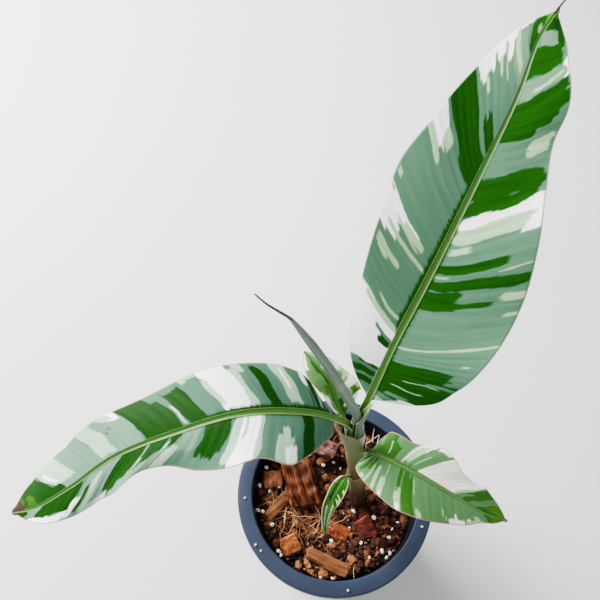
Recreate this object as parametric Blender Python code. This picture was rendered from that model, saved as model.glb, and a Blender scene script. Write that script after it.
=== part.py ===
"""A potted variegated banana plant: nursery pot, bark mix, nested sheaths, open leaves and a rolled leaf.

Metres, +Z up. The origin is the centre of the pot's base, which stands on the ground at z = 0.
Seen from above with +Y away, the tall leaf leans away to the right and the long leaf lies to the left.
"""

import math
from dataclasses import dataclass

import bmesh
import bpy
import numpy as np
from mathutils import Matrix, Vector

MM = 0.001

# What keeps two pieces apart where they touch
GAP = 0.35 * MM

TURN = 2 * math.pi

# Pot: a six-inch round nursery pot
POT_SIDES = 36
POT_HEIGHT = 130 * MM
RIM_RADIUS = 76.5 * MM
RIM_WIDTH = 11.5 * MM
RIM_SKIRT = 9 * MM
RIM_ROUND = 1.2 * MM
POT_WALL = 1.6 * MM
POT_FLOOR = 2.4 * MM
BASE_RADIUS = 51 * MM
BASE_ROUND = 3 * MM
DRAIN_HOLES = 8
DRAIN_RADIUS = 5 * MM
DRAIN_CIRCLE = 37 * MM
DRAIN_SIDES = 12

# Bark mix
MIX_LEVEL = 112 * MM
MIX_RINGS = 5
SMALL_CHIPS = 22
SMALL_CHIP_SIZE = (7 * MM, 13 * MM)
SMALL_CHIP_CIRCLE = 56 * MM
GOLDEN_ANGLE = 2.399963
CHIP_SEED = 11
SMALL_CHIP_SEED = 100
CHUNK_SEED = 40

# Pseudostem: the stem's middle line, from inside the soil up to the crown (x, y, z in mm)
STEM_LINE = (
    (20, -5, 80),
    (18.6, -2, 112),
    (14.6, 7.5, 165),
    (11.5, 13, 210),
    (9.7, 16, 245),
    (8.6, 18, 275),
)
SHEATH_FOOT = 104
STEM_SIDES = 16

# Heights at which the rings of all sheaths lie, so that nested layers bend alike
STEM_LEVELS = (104, 130, 156, 182, 208, 232)

# The sheaths lie in layers. Their radii at the soil grow by one layer each,
# and spread towards the crown (height, times)
CORE_RADIUS = 1.5
LAYER = 0.95
SHEATH_WALL = 0.6
SPREAD = ((100, 1), (150, 1.08), (180, 1.25), (200, 1.5), (235, 1.9), (260, 2.1))

# Corm and roots, in the soil
CORM_PROFILE = ((4, 66), (10, 69), (13.5, 78), (14, 87), (11.5, 97), (7, 103.6))
CORM_SIDES = 16
CORM_MIDDLE = (19.4, -3.8)
ROOTS = 7
ROOT_REACH = 34
ROOT_RADIUS = 1.9
ROOT_TAPER = 0.55
ROOT_SIDES = 6

# A blade at its rib and at its margin
BLADE_THICK = 0.8 * MM
EDGE_THICK = 0.62 * MM

# Where a blade half leaves the rib, as a share of the rib's radius
RIB_SEAT = 0.62

# The rib's groove: half the angle of its wall, and the groove's share of the radius
GROOVE_WALL = 118
GROOVE_DEPTH = 0.48
GROOVE_OUTER = 7
GROOVE_INNER = 3


@dataclass
class Leaf:
    """One leaf: a sheath round the stem, a petiole that runs on as the midrib, and two blade halves.

    Everything is in mm and degrees. Pairs are for the left and the right half.
    """

    name: str
    layer: int  # which layer of the stem its sheath is, 1 the innermost
    faces: float  # the side of the stem that its petiole leaves from, anticlockwise from +X
    closes: float  # how far its sheath reaches round to each side, 180 for all the way
    top: float  # height of its sheath
    wing: tuple  # where the sheath's rim stands highest: side, width, height, and its lean in x and y
    rib: tuple  # the midrib's line, from the petiole out to the tip
    petiole: float  # length of rib with no blade
    rib_radius: tuple  # at the petiole, at the blade's base and at the tip
    left: tuple  # the left margin out to the tip: share of the blade's length, half width
    right: tuple
    fold: tuple  # how far the left and the right half are raised
    roll: tuple  # turn about the rib, at the base and at the tip
    sag: tuple  # how far the left and the right margin curl down
    wave: tuple  # height of the margin's waves, left and right
    waves: float  # number of waves along a margin
    phase: tuple  # where the waves of the left and the right margin start, in turns
    lead: tuple  # how far the left and the right veins run forward, 1 for straight across
    rows: int = 24
    columns: int = 3
    thread: tuple = ()  # the dry thread that stands on past the blade's tip
    colour: tuple = (0.10, 0.27, 0.09)


TALL = Leaf(
    name="leaf_tall",
    layer=1,
    faces=58,
    closes=171,
    top=250,
    wing=(12, 50, 272, 6, 4),
    rib=(
        (12, 19.5, 256), (17.3, 27, 276), (28, 44.5, 305), (41, 62.5, 334), (66, 102, 382),
        (88, 141.5, 409), (105, 180, 418), (117, 198, 420),
    ),
    petiole=14,
    rib_radius=(2.9, 2.4, 0.7),
    left=(
        (0, 0), (0.03, 8), (0.08, 18), (0.14, 26), (0.23, 32), (0.34, 36.5), (0.45, 40),
        (0.55, 42), (0.64, 36), (0.72, 31), (0.84, 21), (0.92, 11), (1, 0),
    ),
    right=(
        (0, 0), (0.02, 10), (0.04, 20), (0.06, 29), (0.09, 38), (0.15, 45), (0.25, 51.5),
        (0.4, 51), (0.5, 44.5), (0.6, 35), (0.7, 27), (0.76, 27), (0.85, 20), (0.92, 14),
        (1, 0),
    ),
    fold=(12, 9),
    roll=(0, 0),
    sag=(2, 3),
    wave=(1.6, 2.2),
    waves=3.2,
    phase=(0.1, 0.55),
    lead=(1.4, 1.75),
    rows=27,
    columns=3,
    thread=((114.5, 194.5, 419.8), (118, 199.5, 420.3), (122, 204.5, 421), (128, 210, 424)),
)

LONG = Leaf(
    name="leaf_long",
    layer=2,
    faces=190,
    closes=171,
    top=234,
    wing=(190, 50, 240, 0, 0),
    rib=(
        (3.7, 12.7, 254), (-10, 12, 272), (-28, 8.5, 290), (-61, 2, 305), (-99, -7, 298),
        (-136, -15, 279), (-168.5, -27, 253), (-198, -35, 231), (-214, -35, 221),
    ),
    petiole=16,
    rib_radius=(2.7, 2.2, 0.7),
    left=(
        (0, 0), (0, 7), (0.06, 18), (0.12, 26), (0.18, 32), (0.25, 28), (0.32, 29), (0.4, 24),
        (0.47, 16), (0.52, 15), (0.61, 20), (0.72, 16), (0.8, 16), (0.88, 12), (0.95, 5),
        (1, 0),
    ),
    right=(
        (0, 0), (0.04, 12), (0.08, 25), (0.14, 30), (0.3, 31), (0.45, 30), (0.6, 26), (0.7, 23),
        (0.8, 22), (0.9, 22), (0.98, 14), (1, 0),
    ),
    fold=(5, 5),
    roll=(0, 0),
    sag=(3, 3),
    wave=(3.5, 2),
    waves=3.1,
    phase=(0.45, 0.2),
    lead=(1.5, 1.4),
    rows=27,
    columns=3,
)

REAR = Leaf(
    name="leaf_rear",
    layer=3,
    faces=145,
    closes=171,
    top=220,
    wing=(145, 60, 226, 0, 0),
    rib=(
        (4, 18, 233), (0.5, 23, 244), (-4.8, 29.5, 257), (-8, 36, 268), (-15, 42.5, 275),
        (-25, 52, 281),
    ),
    petiole=12,
    rib_radius=(1.9, 1.5, 0.6),
    left=(
        (0, 0), (0.08, 3.5), (0.2, 5), (0.34, 6.5), (0.55, 10.5), (0.72, 11), (0.84, 8.5),
        (0.94, 4), (1, 0),
    ),
    right=(
        (0, 0), (0.03, 6), (0.1, 13), (0.2, 16.5), (0.42, 16.5), (0.55, 12), (0.76, 9.5),
        (0.92, 4), (1, 0),
    ),
    fold=(14, 14),
    roll=(0, 0),
    sag=(1, 1),
    wave=(1, 1.5),
    waves=1.6,
    phase=(0.2, 0.6),
    lead=(1.35, 1.35),
    rows=13,
)

SHORT = Leaf(
    name="leaf_short",
    layer=4,
    faces=-38,
    closes=154,
    top=203,
    wing=(240, 75, 263, -5, -3),
    rib=(
        (18.3, 7.2, 216), (24, 2, 226), (43.6, -9.6, 231), (73.6, -24.5, 222), (95, -33.5, 211),
        (112.3, -35.7, 200),
    ),
    petiole=4,
    rib_radius=(2.1, 1.7, 0.6),
    left=(
        (0, 0), (0, 6), (-0.01, 11), (0.04, 17), (0.11, 18), (0.25, 18), (0.34, 22), (0.43, 24),
        (0.5, 21), (0.58, 16), (0.67, 15), (0.79, 17), (0.87, 13), (0.93, 8), (1, 0),
    ),
    right=(
        (0, 0), (-0.02, 5), (-0.02, 9), (0.01, 14), (0.07, 19), (0.12, 22), (0.2, 25),
        (0.32, 28), (0.4, 27), (0.5, 23.5), (0.6, 19), (0.72, 13), (0.8, 7), (0.9, 4), (1, 0),
    ),
    fold=(8, 8),
    roll=(0, 0),
    sag=(2, 2),
    wave=(2.5, 1.5),
    waves=2.3,
    phase=(0.0, 0.3),
    lead=(1.2, 1.25),
    rows=17,
)

LOW = Leaf(
    name="leaf_low",
    layer=5,
    faces=222,
    closes=171,
    top=163,
    wing=(0, 60, 182, 1, 0),
    rib=(
        (9, 2, 168), (4, -1.5, 176), (-0.5, -8, 173), (-3.8, -14, 166), (-7.8, -24.5, 149),
        (-8.6, -33, 134),
    ),
    petiole=7,
    rib_radius=(1.7, 1.2, 0.6),
    left=((0, 0), (0.04, 4), (0.1, 6), (0.22, 7), (0.35, 6), (0.5, 4.2), (0.7, 2.8), (1, 0)),
    right=((0, 0), (0.06, 3), (0.15, 4.7), (0.3, 5), (0.5, 5), (0.7, 3.8), (0.86, 2.2), (1, 0)),
    fold=(15, 15),
    roll=(0, 0),
    sag=(0, 0),
    wave=(0.6, 0.5),
    waves=1.5,
    phase=(0.0, 0.5),
    lead=(1.4, 1.4),
    rows=11,
)

LEAVES = (TALL, LONG, REAR, SHORT, LOW)

# The rolled new leaf in the middle, as radii at heights, and the dry thread at its tip
SPEAR_LINE = ((4.5, 18.5, 285), (-8, 21.5, 318), (-21, 22.5, 352), (-31.8, 23.4, 380))
SPEAR_RADII = (
    (100, 1.5),
    (150, 1.6),
    (200, 2.2),
    (235, 2.9),
    (285, 3.3),
    (318, 2.8),
    (352, 2.7),
    (368, 2.0),
    (381, 1.1),
)
SPEAR_SIDES = 12
THREAD_LINE = (
    (-28.5, 23.2, 373),
    (-33.2, 23.5, 382),
    (-38, 23.6, 388),
    (-43.7, 24.6, 394),
    (-48.6, 27.3, 398),
)
THREAD_RADIUS = (1.0, 0.6)

# The larger pieces of husk and bark: name, middle, size, turns about X, Y and Z in degrees, colour
CHUNKS = (
    ("husk_chunk", (-26, 10, 118), (25, 40, 22), (12, -8, 14), (0.33, 0.13, 0.05)),
    ("husk_flake", (-7, 38, 120), (22, 15, 26), (14, 10, -20), (0.30, 0.16, 0.13)),
    ("bark_chip_square", (-50, 14, 114), (17, 15, 10), (6, 10, 8), (0.36, 0.18, 0.10)),
    ("bark_chip_slanted", (-46, -8, 114), (9, 25, 9), (0, 12, -42), (0.40, 0.22, 0.12)),
    ("bark_chip_amber", (-35, -37, 114), (15, 15, 11), (8, 4, 20), (0.52, 0.24, 0.07)),
    ("bark_chip_orange", (2, -27, 113), (19, 13, 9), (-8, 6, -22), (0.50, 0.17, 0.04)),
    ("bark_chip_red", (24, -24, 113), (18, 18, 10), (10, -6, 24), (0.28, 0.05, 0.02)),
    ("bark_strip", (-6, -50, 114), (37, 11, 8), (4, 3, -24), (0.42, 0.24, 0.12)),
)


def clear_scene():
    for obj in list(bpy.data.objects):
        bpy.data.objects.remove(obj, do_unlink=True)


def material(name, colour, roughness):
    made = bpy.data.materials.new(name)
    made.use_nodes = True
    shader = made.node_tree.nodes["Principled BSDF"]
    shader.inputs["Base Color"].default_value = (*colour, 1)
    shader.inputs["Roughness"].default_value = roughness
    shader.inputs["Metallic"].default_value = 0.0
    return made


def add_object(name, points, faces, finish=None):
    """One object in the scene, with its faces turned outwards."""
    mesh = bpy.data.meshes.new(name)
    mesh.from_pydata([tuple(p) for p in points], [], [tuple(f) for f in faces])
    work = bmesh.new()
    work.from_mesh(mesh)
    bmesh.ops.recalc_face_normals(work, faces=work.faces)
    work.to_mesh(mesh)
    work.free()
    obj = bpy.data.objects.new(name, mesh)
    bpy.context.scene.collection.objects.link(obj)
    if finish:
        mesh.materials.append(finish)
    return obj


def shade_round(obj, angle=50):
    obj.data.shade_smooth()
    obj.data.set_sharp_from_angle(angle=math.radians(angle))


def combine(target, others, operation, solver="EXACT"):
    """Joins other objects to the target, or cuts them from it, then removes them."""
    group = bpy.data.collections.new("combine")
    bpy.context.scene.collection.children.link(group)
    for other in others:
        bpy.context.scene.collection.objects.unlink(other)
        group.objects.link(other)
    step = target.modifiers.new("combine", "BOOLEAN")
    step.operation = operation
    step.operand_type = "COLLECTION"
    step.collection = group
    step.solver = solver
    bpy.context.view_layer.update()
    graph = bpy.context.evaluated_depsgraph_get()
    result = bpy.data.meshes.new_from_object(target.evaluated_get(graph))
    target.modifiers.clear()
    target.data = result
    for other in others:
        bpy.data.objects.remove(other, do_unlink=True)
    bpy.data.collections.remove(group)


def keep_largest(obj):
    """Deletes what a cut left loose: every island of the mesh but the one with the most vertices."""
    work = bmesh.new()
    work.from_mesh(obj.data)
    unseen = set(work.verts)
    islands = []
    while unseen:
        stack = [unseen.pop()]
        island = set(stack)
        while stack:
            for edge in stack.pop().link_edges:
                for vert in edge.verts:
                    if vert in unseen:
                        unseen.remove(vert)
                        island.add(vert)
                        stack.append(vert)
        islands.append(island)
    islands.sort(key=len)
    loose = [vert for island in islands[:-1] for vert in island]
    bmesh.ops.delete(work, geom=loose, context="VERTS")
    work.to_mesh(obj.data)
    work.free()


def smooth_values(at, values, where):
    """Values between given ones, on a smooth curve through them."""
    at = np.asarray(at, float)
    values = np.asarray(values, float)
    slope = np.gradient(values, at, axis=0)
    i = np.clip(np.searchsorted(at, where) - 1, 0, len(at) - 2)
    span = at[i + 1] - at[i]
    t = (where - at[i]) / span
    if values.ndim == 2:
        span, t = span[:, None], t[:, None]
    return (
        (1 + 2 * t) * (1 - t) ** 2 * values[i]
        + t * (1 - t) ** 2 * span * slope[i]
        + t * t * (3 - 2 * t) * values[i + 1]
        + t * t * (t - 1) * span * slope[i + 1]
    )


def eased(share):
    return share * share * (3 - 2 * share)


class Line:
    """A smooth line through points, read by distance along it, with a frame: along, right and up."""

    SAMPLES = 500

    def __init__(self, points_mm, level_from=0.0, roll=(0, 0)):
        points = np.asarray(points_mm, float) * MM
        steps = np.linalg.norm(np.diff(points, axis=0), axis=1)
        at = np.concatenate([[0], np.cumsum(steps)])
        dense = smooth_values(at, points, np.linspace(0, at[-1], self.SAMPLES))
        run = np.concatenate([[0], np.cumsum(np.linalg.norm(np.diff(dense, axis=0), axis=1))])
        self.length = run[-1]
        self.at = np.linspace(0, self.length, self.SAMPLES)
        self.middle = np.stack([np.interp(self.at, run, dense[:, k]) for k in range(3)], axis=1)
        self.along = np.gradient(self.middle, axis=0)
        self.along /= np.linalg.norm(self.along, axis=1)[:, None]
        self.level(level_from, roll)

    def level(self, level_from, roll):
        """Past level_from the up side is the upper side, turned by roll.

        Before it the frame turns no more than the line does.
        """
        up = np.array([0.0, 0.0, 1.0]) - self.along[:, 2:] * self.along
        up /= np.linalg.norm(up, axis=1)[:, None]
        right = np.cross(self.along, up)
        first = int(np.searchsorted(self.at, level_from))
        share = np.clip((self.at - level_from) / (self.length - level_from), 0, 1)
        turn = np.radians(roll[0] + (roll[1] - roll[0]) * share)[:, None]
        self.up = np.cos(turn) * up - np.sin(turn) * right
        for i in range(first - 1, -1, -1):
            carried = self.up[i + 1] - (self.up[i + 1] @ self.along[i]) * self.along[i]
            self.up[i] = carried / np.linalg.norm(carried)
        self.right = np.cross(self.along, self.up)

    def read(self, where):
        """Middle, right and up at these distances."""
        where = np.clip(where, 0, self.length)
        return [
            np.stack([np.interp(where, self.at, table[:, k]) for k in range(3)], axis=-1)
            for table in (self.middle, self.right, self.up)
        ]


def ring_faces(rings, sides):
    """Triangles of a tube of closed rings, and one face on each end."""
    faces = []
    for i in range(rings - 1):
        for j in range(sides):
            a, b = i * sides + j, i * sides + (j + 1) % sides
            faces += [(a, b, b + sides), (a, b + sides, a + sides)]
    faces.append(tuple(range(sides))[::-1])
    faces.append(tuple((rings - 1) * sides + j for j in range(sides)))
    return faces


def tube(name, line, where, radii, sides, finish=None):
    middle, right, up = line.read(where)
    angles = np.arange(sides) * TURN / sides
    points = (
        middle[:, None]
        + radii[:, None, None] * np.cos(angles)[None, :, None] * right[:, None]
        + radii[:, None, None] * np.sin(angles)[None, :, None] * up[:, None]
    )
    return add_object(name, points.reshape(-1, 3), ring_faces(len(where), sides), finish)


def channel(name, line, where, radii):
    """A tube with a groove along its upper side."""
    outside = np.linspace(-GROOVE_WALL, GROOVE_WALL, GROOVE_OUTER)
    inside = np.linspace(GROOVE_WALL, -GROOVE_WALL, GROOVE_INNER)
    around = np.radians(np.concatenate([outside, inside]))
    share = np.concatenate([np.ones(GROOVE_OUTER), np.full(GROOVE_INNER, GROOVE_DEPTH)])
    rings = []
    for middle, right, up, radius in zip(*line.read(where), radii):
        sideways = (radius * share * np.sin(around))[:, None] * right
        upwards = -(radius * share * np.cos(around))[:, None] * up
        rings.append(middle + sideways + upwards)
    return add_object(name, np.concatenate(rings), ring_faces(len(where), len(around)))


def turned(name, middle, profile, sides, finish=None):
    """A body turned about an upright line at middle (x, y), from its profile of (radius, height)."""
    points = []
    for radius, height in profile:
        for j in range(sides):
            x = middle[0] + radius * math.cos(TURN * j / sides)
            y = middle[1] + radius * math.sin(TURN * j / sides)
            points.append((x, y, height))
    return add_object(name, points, ring_faces(len(profile), sides), finish)


def table(rows, where):
    """Reads a table of (place, value) in mm at heights in metres."""
    return np.interp(where, [row[0] * MM for row in rows], [row[1] for row in rows])


def stem_axis(height):
    """The stem's middle (x, y) at a height."""
    line = np.array(STEM_LINE, float) * MM
    return smooth_values(line[:, 2], line[:, :2], np.atleast_1d(height))


def layer_radius(layer, height):
    """Outer radius of a sheath at a height."""
    return (CORE_RADIUS + LAYER * layer) * MM * table(SPREAD, height)


def stem_points(heights, out=0.0, side=0.0):
    """Points in mm up the stem, or up one side of it at a distance from its middle."""
    points = []
    for height in heights:
        x, y = stem_axis(height * MM)[0] / MM
        reach = out * table(SPREAD, height * MM)
        points.append((x + reach * math.cos(side), y + reach * math.sin(side), height))
    return points


def bundle(leaf):
    """What a sheath wraps where its petiole leaves it, with a gap round it."""
    heights = np.linspace(leaf.top - 45, leaf.top + 30, 9)
    line = Line(stem_points(heights))
    where = np.linspace(0, line.length, 9)
    radii = layer_radius(leaf.layer - 1, line.read(where)[0][:, 2]) + 0.7 * GAP
    return tube("wrapped", line, where, radii, STEM_SIDES)


def bump(angle, middle, width):
    """1 at the middle angle, falling smoothly to 0 away from it. In degrees."""
    away = (angle - middle + 180) % 360 - 180
    return np.exp(-((away / width) ** 2))


def sheath(leaf):
    """The sheath as a thin rolled slab with a slit opposite the petiole and a rim that rises in a wing."""
    side, width, height, lean_x, lean_y = leaf.wing
    angles = leaf.faces + np.linspace(-leaf.closes, leaf.closes, STEM_SIDES + 1)
    raised = bump(angles, side, width)[None, :]
    rim = leaf.top + (height - leaf.top) * raised
    levels = np.array([level for level in STEM_LEVELS if level < leaf.top - 6], float)[:, None]
    share = np.array([0.4, 0.75, 1.0])[:, None]
    z = np.concatenate([levels + 0 * rim, levels[-1] + (rim - levels[-1]) * share]) * MM
    middle = stem_axis(z.ravel()).reshape(*z.shape, 2)
    above = np.clip((z / MM - leaf.top) / (height - leaf.top), 0, 1)
    leaning = (above**1.5)[..., None] * np.array([lean_x, lean_y]) * MM
    outward = np.stack([np.cos(np.radians(angles)), np.sin(np.radians(angles))], axis=-1)[None]
    sheets = []
    for radius in (layer_radius(leaf.layer, z), layer_radius(leaf.layer, z) - SHEATH_WALL * MM):
        flat = middle + leaning + outward * radius[..., None]
        sheets.append(np.concatenate([flat, z[..., None]], axis=-1).reshape(-1, 3))
    return add_object("sheath", np.concatenate(sheets), slab_faces(len(z), STEM_SIDES + 1))


def leaf_line(leaf):
    """The line of a leaf, up in its sheath's wall and out along its rib, and where on it the rib starts."""
    wall = CORE_RADIUS + LAYER * leaf.layer - 0.2
    inside = stem_points(np.linspace(leaf.top - 24, leaf.top - 4, 3), wall, math.radians(leaf.faces))
    points = np.array([*inside, *leaf.rib], float)
    steps = np.linalg.norm(np.diff(points, axis=0), axis=1)
    rib_start = steps[: len(inside)].sum() * MM
    return Line(points, rib_start + leaf.petiole * MM, leaf.roll), rib_start


def leaf_core(leaf, line, rib_start):
    """Petiole and midrib as one rod with a groove, thin where it starts in the sheath's wall."""
    blade_start = rib_start + leaf.petiole * MM
    along_blade = np.linspace(0, 1, max(9, leaf.rows // 2 + 1)) ** 1.25
    where = np.concatenate([
        np.linspace(0, blade_start, 7)[:-1],
        blade_start + (line.length - blade_start) * along_blade,
    ])
    petiole, base, tip = leaf.rib_radius
    out = np.clip((where - blade_start) / (line.length - blade_start), 0, 1)
    near = np.clip((where - rib_start) / (blade_start - rib_start), 0, 1)
    rising = eased(np.clip(where / rib_start, 0, 1))
    rib = petiole + (base - petiole) * near + (tip - base) * out**0.8
    radii = (0.3 * (1 - rising) + rib * rising) * MM
    return channel(leaf.name, line, where, radii)


def margin(leaf, length, k, step):
    """Places on a margin: share of the blade's length, half width, and the share where each vein starts."""
    stations = np.array((leaf.left, leaf.right)[k], float)
    points = stations * [length, MM]
    at = np.concatenate([[0], np.cumsum(np.linalg.norm(np.diff(points, axis=0), axis=1))])
    share, width = smooth_values(at / at[-1], stations, step).T
    started = 1 - np.maximum(1 - share, 0) ** (1 / leaf.lead[k])
    least = 0.15 * step
    vein = 0.5 * (started + least + np.sqrt((started - least) ** 2 + 0.0004))
    return share, np.maximum(width, 0) * MM, np.clip(vein, 0.005, 0.995)


def blade_half(leaf, line, rib_start, side):
    """One blade half as a thin closed slab, in rows that run along the side veins.

    Side is -1 for left and 1 for right.
    """
    k = 0 if side < 0 else 1
    start = rib_start + leaf.petiole * MM
    length = line.length - start
    step = np.linspace(0, 1, leaf.rows)
    margin_share, width, rib_share = margin(leaf, length, k, step)
    rib_size = (leaf.rib_radius[1] + (leaf.rib_radius[2] - leaf.rib_radius[1]) * rib_share**0.8) * MM
    width = np.maximum(width, RIB_SEAT * rib_size + 0.6 * MM)
    across = np.linspace(0, 1, leaf.columns + 1) ** 0.9
    swept = (margin_share - rib_share)[:, None] * across[None, :] ** 1.3
    where = start + length * (rib_share[:, None] + swept)
    reach = RIB_SEAT * rib_size[:, None] * (1 - across) + width[:, None] * across
    turns = leaf.waves * margin_share + leaf.phase[k]
    calm = np.sin(np.pi * np.clip(margin_share, 0, 1)) ** 0.5
    lift = (
        reach * math.tan(math.radians(leaf.fold[k]))
        - leaf.sag[k] * MM * across**2
        + leaf.wave[k] * MM * (calm * np.sin(TURN * turns))[:, None] * across**2
    )
    middle, right, up = line.read(where)
    surface = middle + side * reach[..., None] * right + lift[..., None] * up
    tilt = math.radians(leaf.fold[k])
    normal = math.cos(tilt) * up - side * math.sin(tilt) * right
    thick = (BLADE_THICK + (EDGE_THICK - BLADE_THICK) * across)[None, :, None] / 2
    upper = (surface + thick * normal).reshape(-1, 3)
    under = (surface - thick * normal).reshape(-1, 3)
    return add_object("half", np.concatenate([upper, under]), slab_faces(leaf.rows, leaf.columns + 1))


def slab_faces(rows, columns):
    """Triangles of a thin slab: two like grids, split alike, and the band round their edge."""
    under = rows * columns
    faces = []
    for i in range(rows - 1):
        for j in range(columns - 1):
            a = i * columns + j
            b, c, d = a + 1, a + columns + 1, a + columns
            faces += [(a, b, d), (b, c, d)]
            faces += [(under + d, under + b, under + a), (under + d, under + c, under + b)]
    edge = list(range(columns))
    edge += [i * columns + columns - 1 for i in range(1, rows)]
    edge += [(rows - 1) * columns + j for j in range(columns - 2, -1, -1)]
    edge += [i * columns for i in range(rows - 2, 0, -1)]
    for a, b in zip(edge, edge[1:] + edge[:1]):
        faces += [(b, a, under + a), (b, under + a, under + b)]
    return faces


def thread(line, radii):
    where = np.linspace(0, line.length, 7)
    size = np.linspace(radii[0], radii[1], 7) * MM
    return tube("thread", line, where, size, 6)


def build_leaf(leaf):
    """A leaf in one piece, cut clear of what its sheath wraps."""
    line, rib_start = leaf_line(leaf)
    obj = leaf_core(leaf, line, rib_start)
    joined = [sheath(leaf)] + [blade_half(leaf, line, rib_start, side) for side in (-1, 1)]
    if leaf.thread:
        joined.append(thread(Line(leaf.thread), (0.7, 0.6)))
    combine(obj, joined, "UNION")
    combine(obj, [bundle(leaf)], "DIFFERENCE")
    keep_largest(obj)
    obj.data.materials.clear()
    obj.data.materials.append(material(leaf.name, leaf.colour, 0.45))
    shade_round(obj)
    return obj


def build_spear():
    """The rolled leaf, from its foot inside the stem to its point."""
    line = Line([*stem_points((*STEM_LEVELS, 255)), *SPEAR_LINE])
    where = np.linspace(0, line.length, 16)
    radii = table(SPEAR_RADII, line.read(where)[0][:, 2]) * MM
    finish = material("leaf_rolled", (0.25, 0.32, 0.24), 0.5)
    obj = tube("leaf_rolled", line, where, radii, SPEAR_SIDES, finish)
    combine(obj, [thread(Line(THREAD_LINE), THREAD_RADIUS)], "UNION")
    shade_round(obj)


def stem_hole():
    """The plain hole that the stem stands in, through the mix."""
    line = Line(stem_points((98, 110, 125, 140)))
    where = np.linspace(0, line.length, 5)
    radii = layer_radius(LOW.layer, line.read(where)[0][:, 2]) + GAP
    return tube("hole", line, where, radii, STEM_SIDES)


def root_line(index):
    """A root's line: out of the corm's side and down through the mix."""
    angle = TURN * (index + 0.3) / ROOTS
    out = np.array([math.cos(angle), math.sin(angle), 0.0])
    start = np.array([*CORM_MIDDLE, 82.0 - 3 * (index % 3)])
    bend = start + out * 0.53 * ROOT_REACH - [0, 0, 2]
    end = start + out * ROOT_REACH - [0, 0, 18 + 4 * (index % 2)]
    return Line([start + out * 6, bend, end])


def roots(extra):
    found = []
    for index in range(ROOTS):
        line = root_line(index)
        where = np.linspace(0, line.length, 5)
        radii = np.linspace(ROOT_RADIUS, ROOT_RADIUS * ROOT_TAPER, 5) * MM + extra
        found.append(tube("root", line, where, radii, ROOT_SIDES))
    return found


def corm_body(name, extra, finish=None):
    profile = [(radius * MM + extra, height * MM) for radius, height in CORM_PROFILE]
    profile[0] = (profile[0][0], profile[0][1] - extra)
    profile[-1] = (profile[-1][0], profile[-1][1] + extra)
    return turned(name, np.array(CORM_MIDDLE) * MM, profile, CORM_SIDES, finish)


def build_corm():
    obj = corm_body("corm_and_roots", 0.0, material("corm_and_roots", (0.55, 0.47, 0.34), 0.8))
    combine(obj, roots(0.0), "UNION")
    shade_round(obj, 40)


def pot_profile():
    """The pot's wall as (radius, height), from the middle of its underside round to its floor."""
    neck = RIM_RADIUS - RIM_WIDTH
    wall_top = neck + POT_WALL
    outside = [
        (0, 0),
        (BASE_RADIUS - BASE_ROUND, 0),
        (BASE_RADIUS - 0.3 * BASE_ROUND, 0.3 * BASE_ROUND),
        (BASE_RADIUS, BASE_ROUND),
    ]
    rim = [
        (wall_top, POT_HEIGHT - POT_WALL),
        (RIM_RADIUS - POT_WALL, POT_HEIGHT - POT_WALL),
        (RIM_RADIUS - POT_WALL, POT_HEIGHT - RIM_SKIRT),
        (RIM_RADIUS, POT_HEIGHT - RIM_SKIRT),
        (RIM_RADIUS, POT_HEIGHT - RIM_ROUND),
        (RIM_RADIUS - RIM_ROUND, POT_HEIGHT),
        (neck + RIM_ROUND, POT_HEIGHT),
        (neck, POT_HEIGHT - RIM_ROUND),
    ]
    inside = [
        (BASE_RADIUS - POT_WALL, POT_FLOOR + BASE_ROUND),
        (BASE_RADIUS - POT_WALL - BASE_ROUND, POT_FLOOR),
        (0, POT_FLOOR),
    ]
    return outside + rim + inside


def inner_wall(height):
    """Radius of the pot's inside at a height."""
    foot, head = POT_FLOOR + BASE_ROUND, POT_HEIGHT - RIM_ROUND
    share = (height - foot) / (head - foot)
    return (BASE_RADIUS - POT_WALL) + share * (RIM_RADIUS - RIM_WIDTH - BASE_RADIUS + POT_WALL)


def build_pot():
    profile = pot_profile()
    mesh = bpy.data.meshes.new("pot")
    work = bmesh.new()
    verts = [work.verts.new((radius, 0, height)) for radius, height in profile]
    edges = [work.edges.new(pair) for pair in zip(verts, verts[1:])]
    geometry = verts + edges
    about = {"axis": (0, 0, 1), "cent": (0, 0, 0), "angle": TURN, "steps": POT_SIDES}
    bmesh.ops.spin(work, geom=geometry, use_merge=True, **about)
    bmesh.ops.remove_doubles(work, verts=work.verts, dist=1e-6)
    bmesh.ops.recalc_face_normals(work, faces=work.faces)
    work.to_mesh(mesh)
    work.free()
    pot = bpy.data.objects.new("pot", mesh)
    bpy.context.scene.collection.objects.link(pot)
    mesh.materials.append(material("pot", (0.045, 0.062, 0.098), 0.42))
    holes = []
    for index in range(DRAIN_HOLES):
        angle = TURN * (index + 0.5) / DRAIN_HOLES
        middle = DRAIN_CIRCLE * np.array([math.cos(angle), math.sin(angle)])
        profile = [(DRAIN_RADIUS, -2 * MM), (DRAIN_RADIUS, POT_FLOOR + 2 * MM)]
        holes.append(turned("drain", middle, profile, DRAIN_SIDES))
    combine(pot, holes, "DIFFERENCE")
    shade_round(pot, 35)


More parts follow.
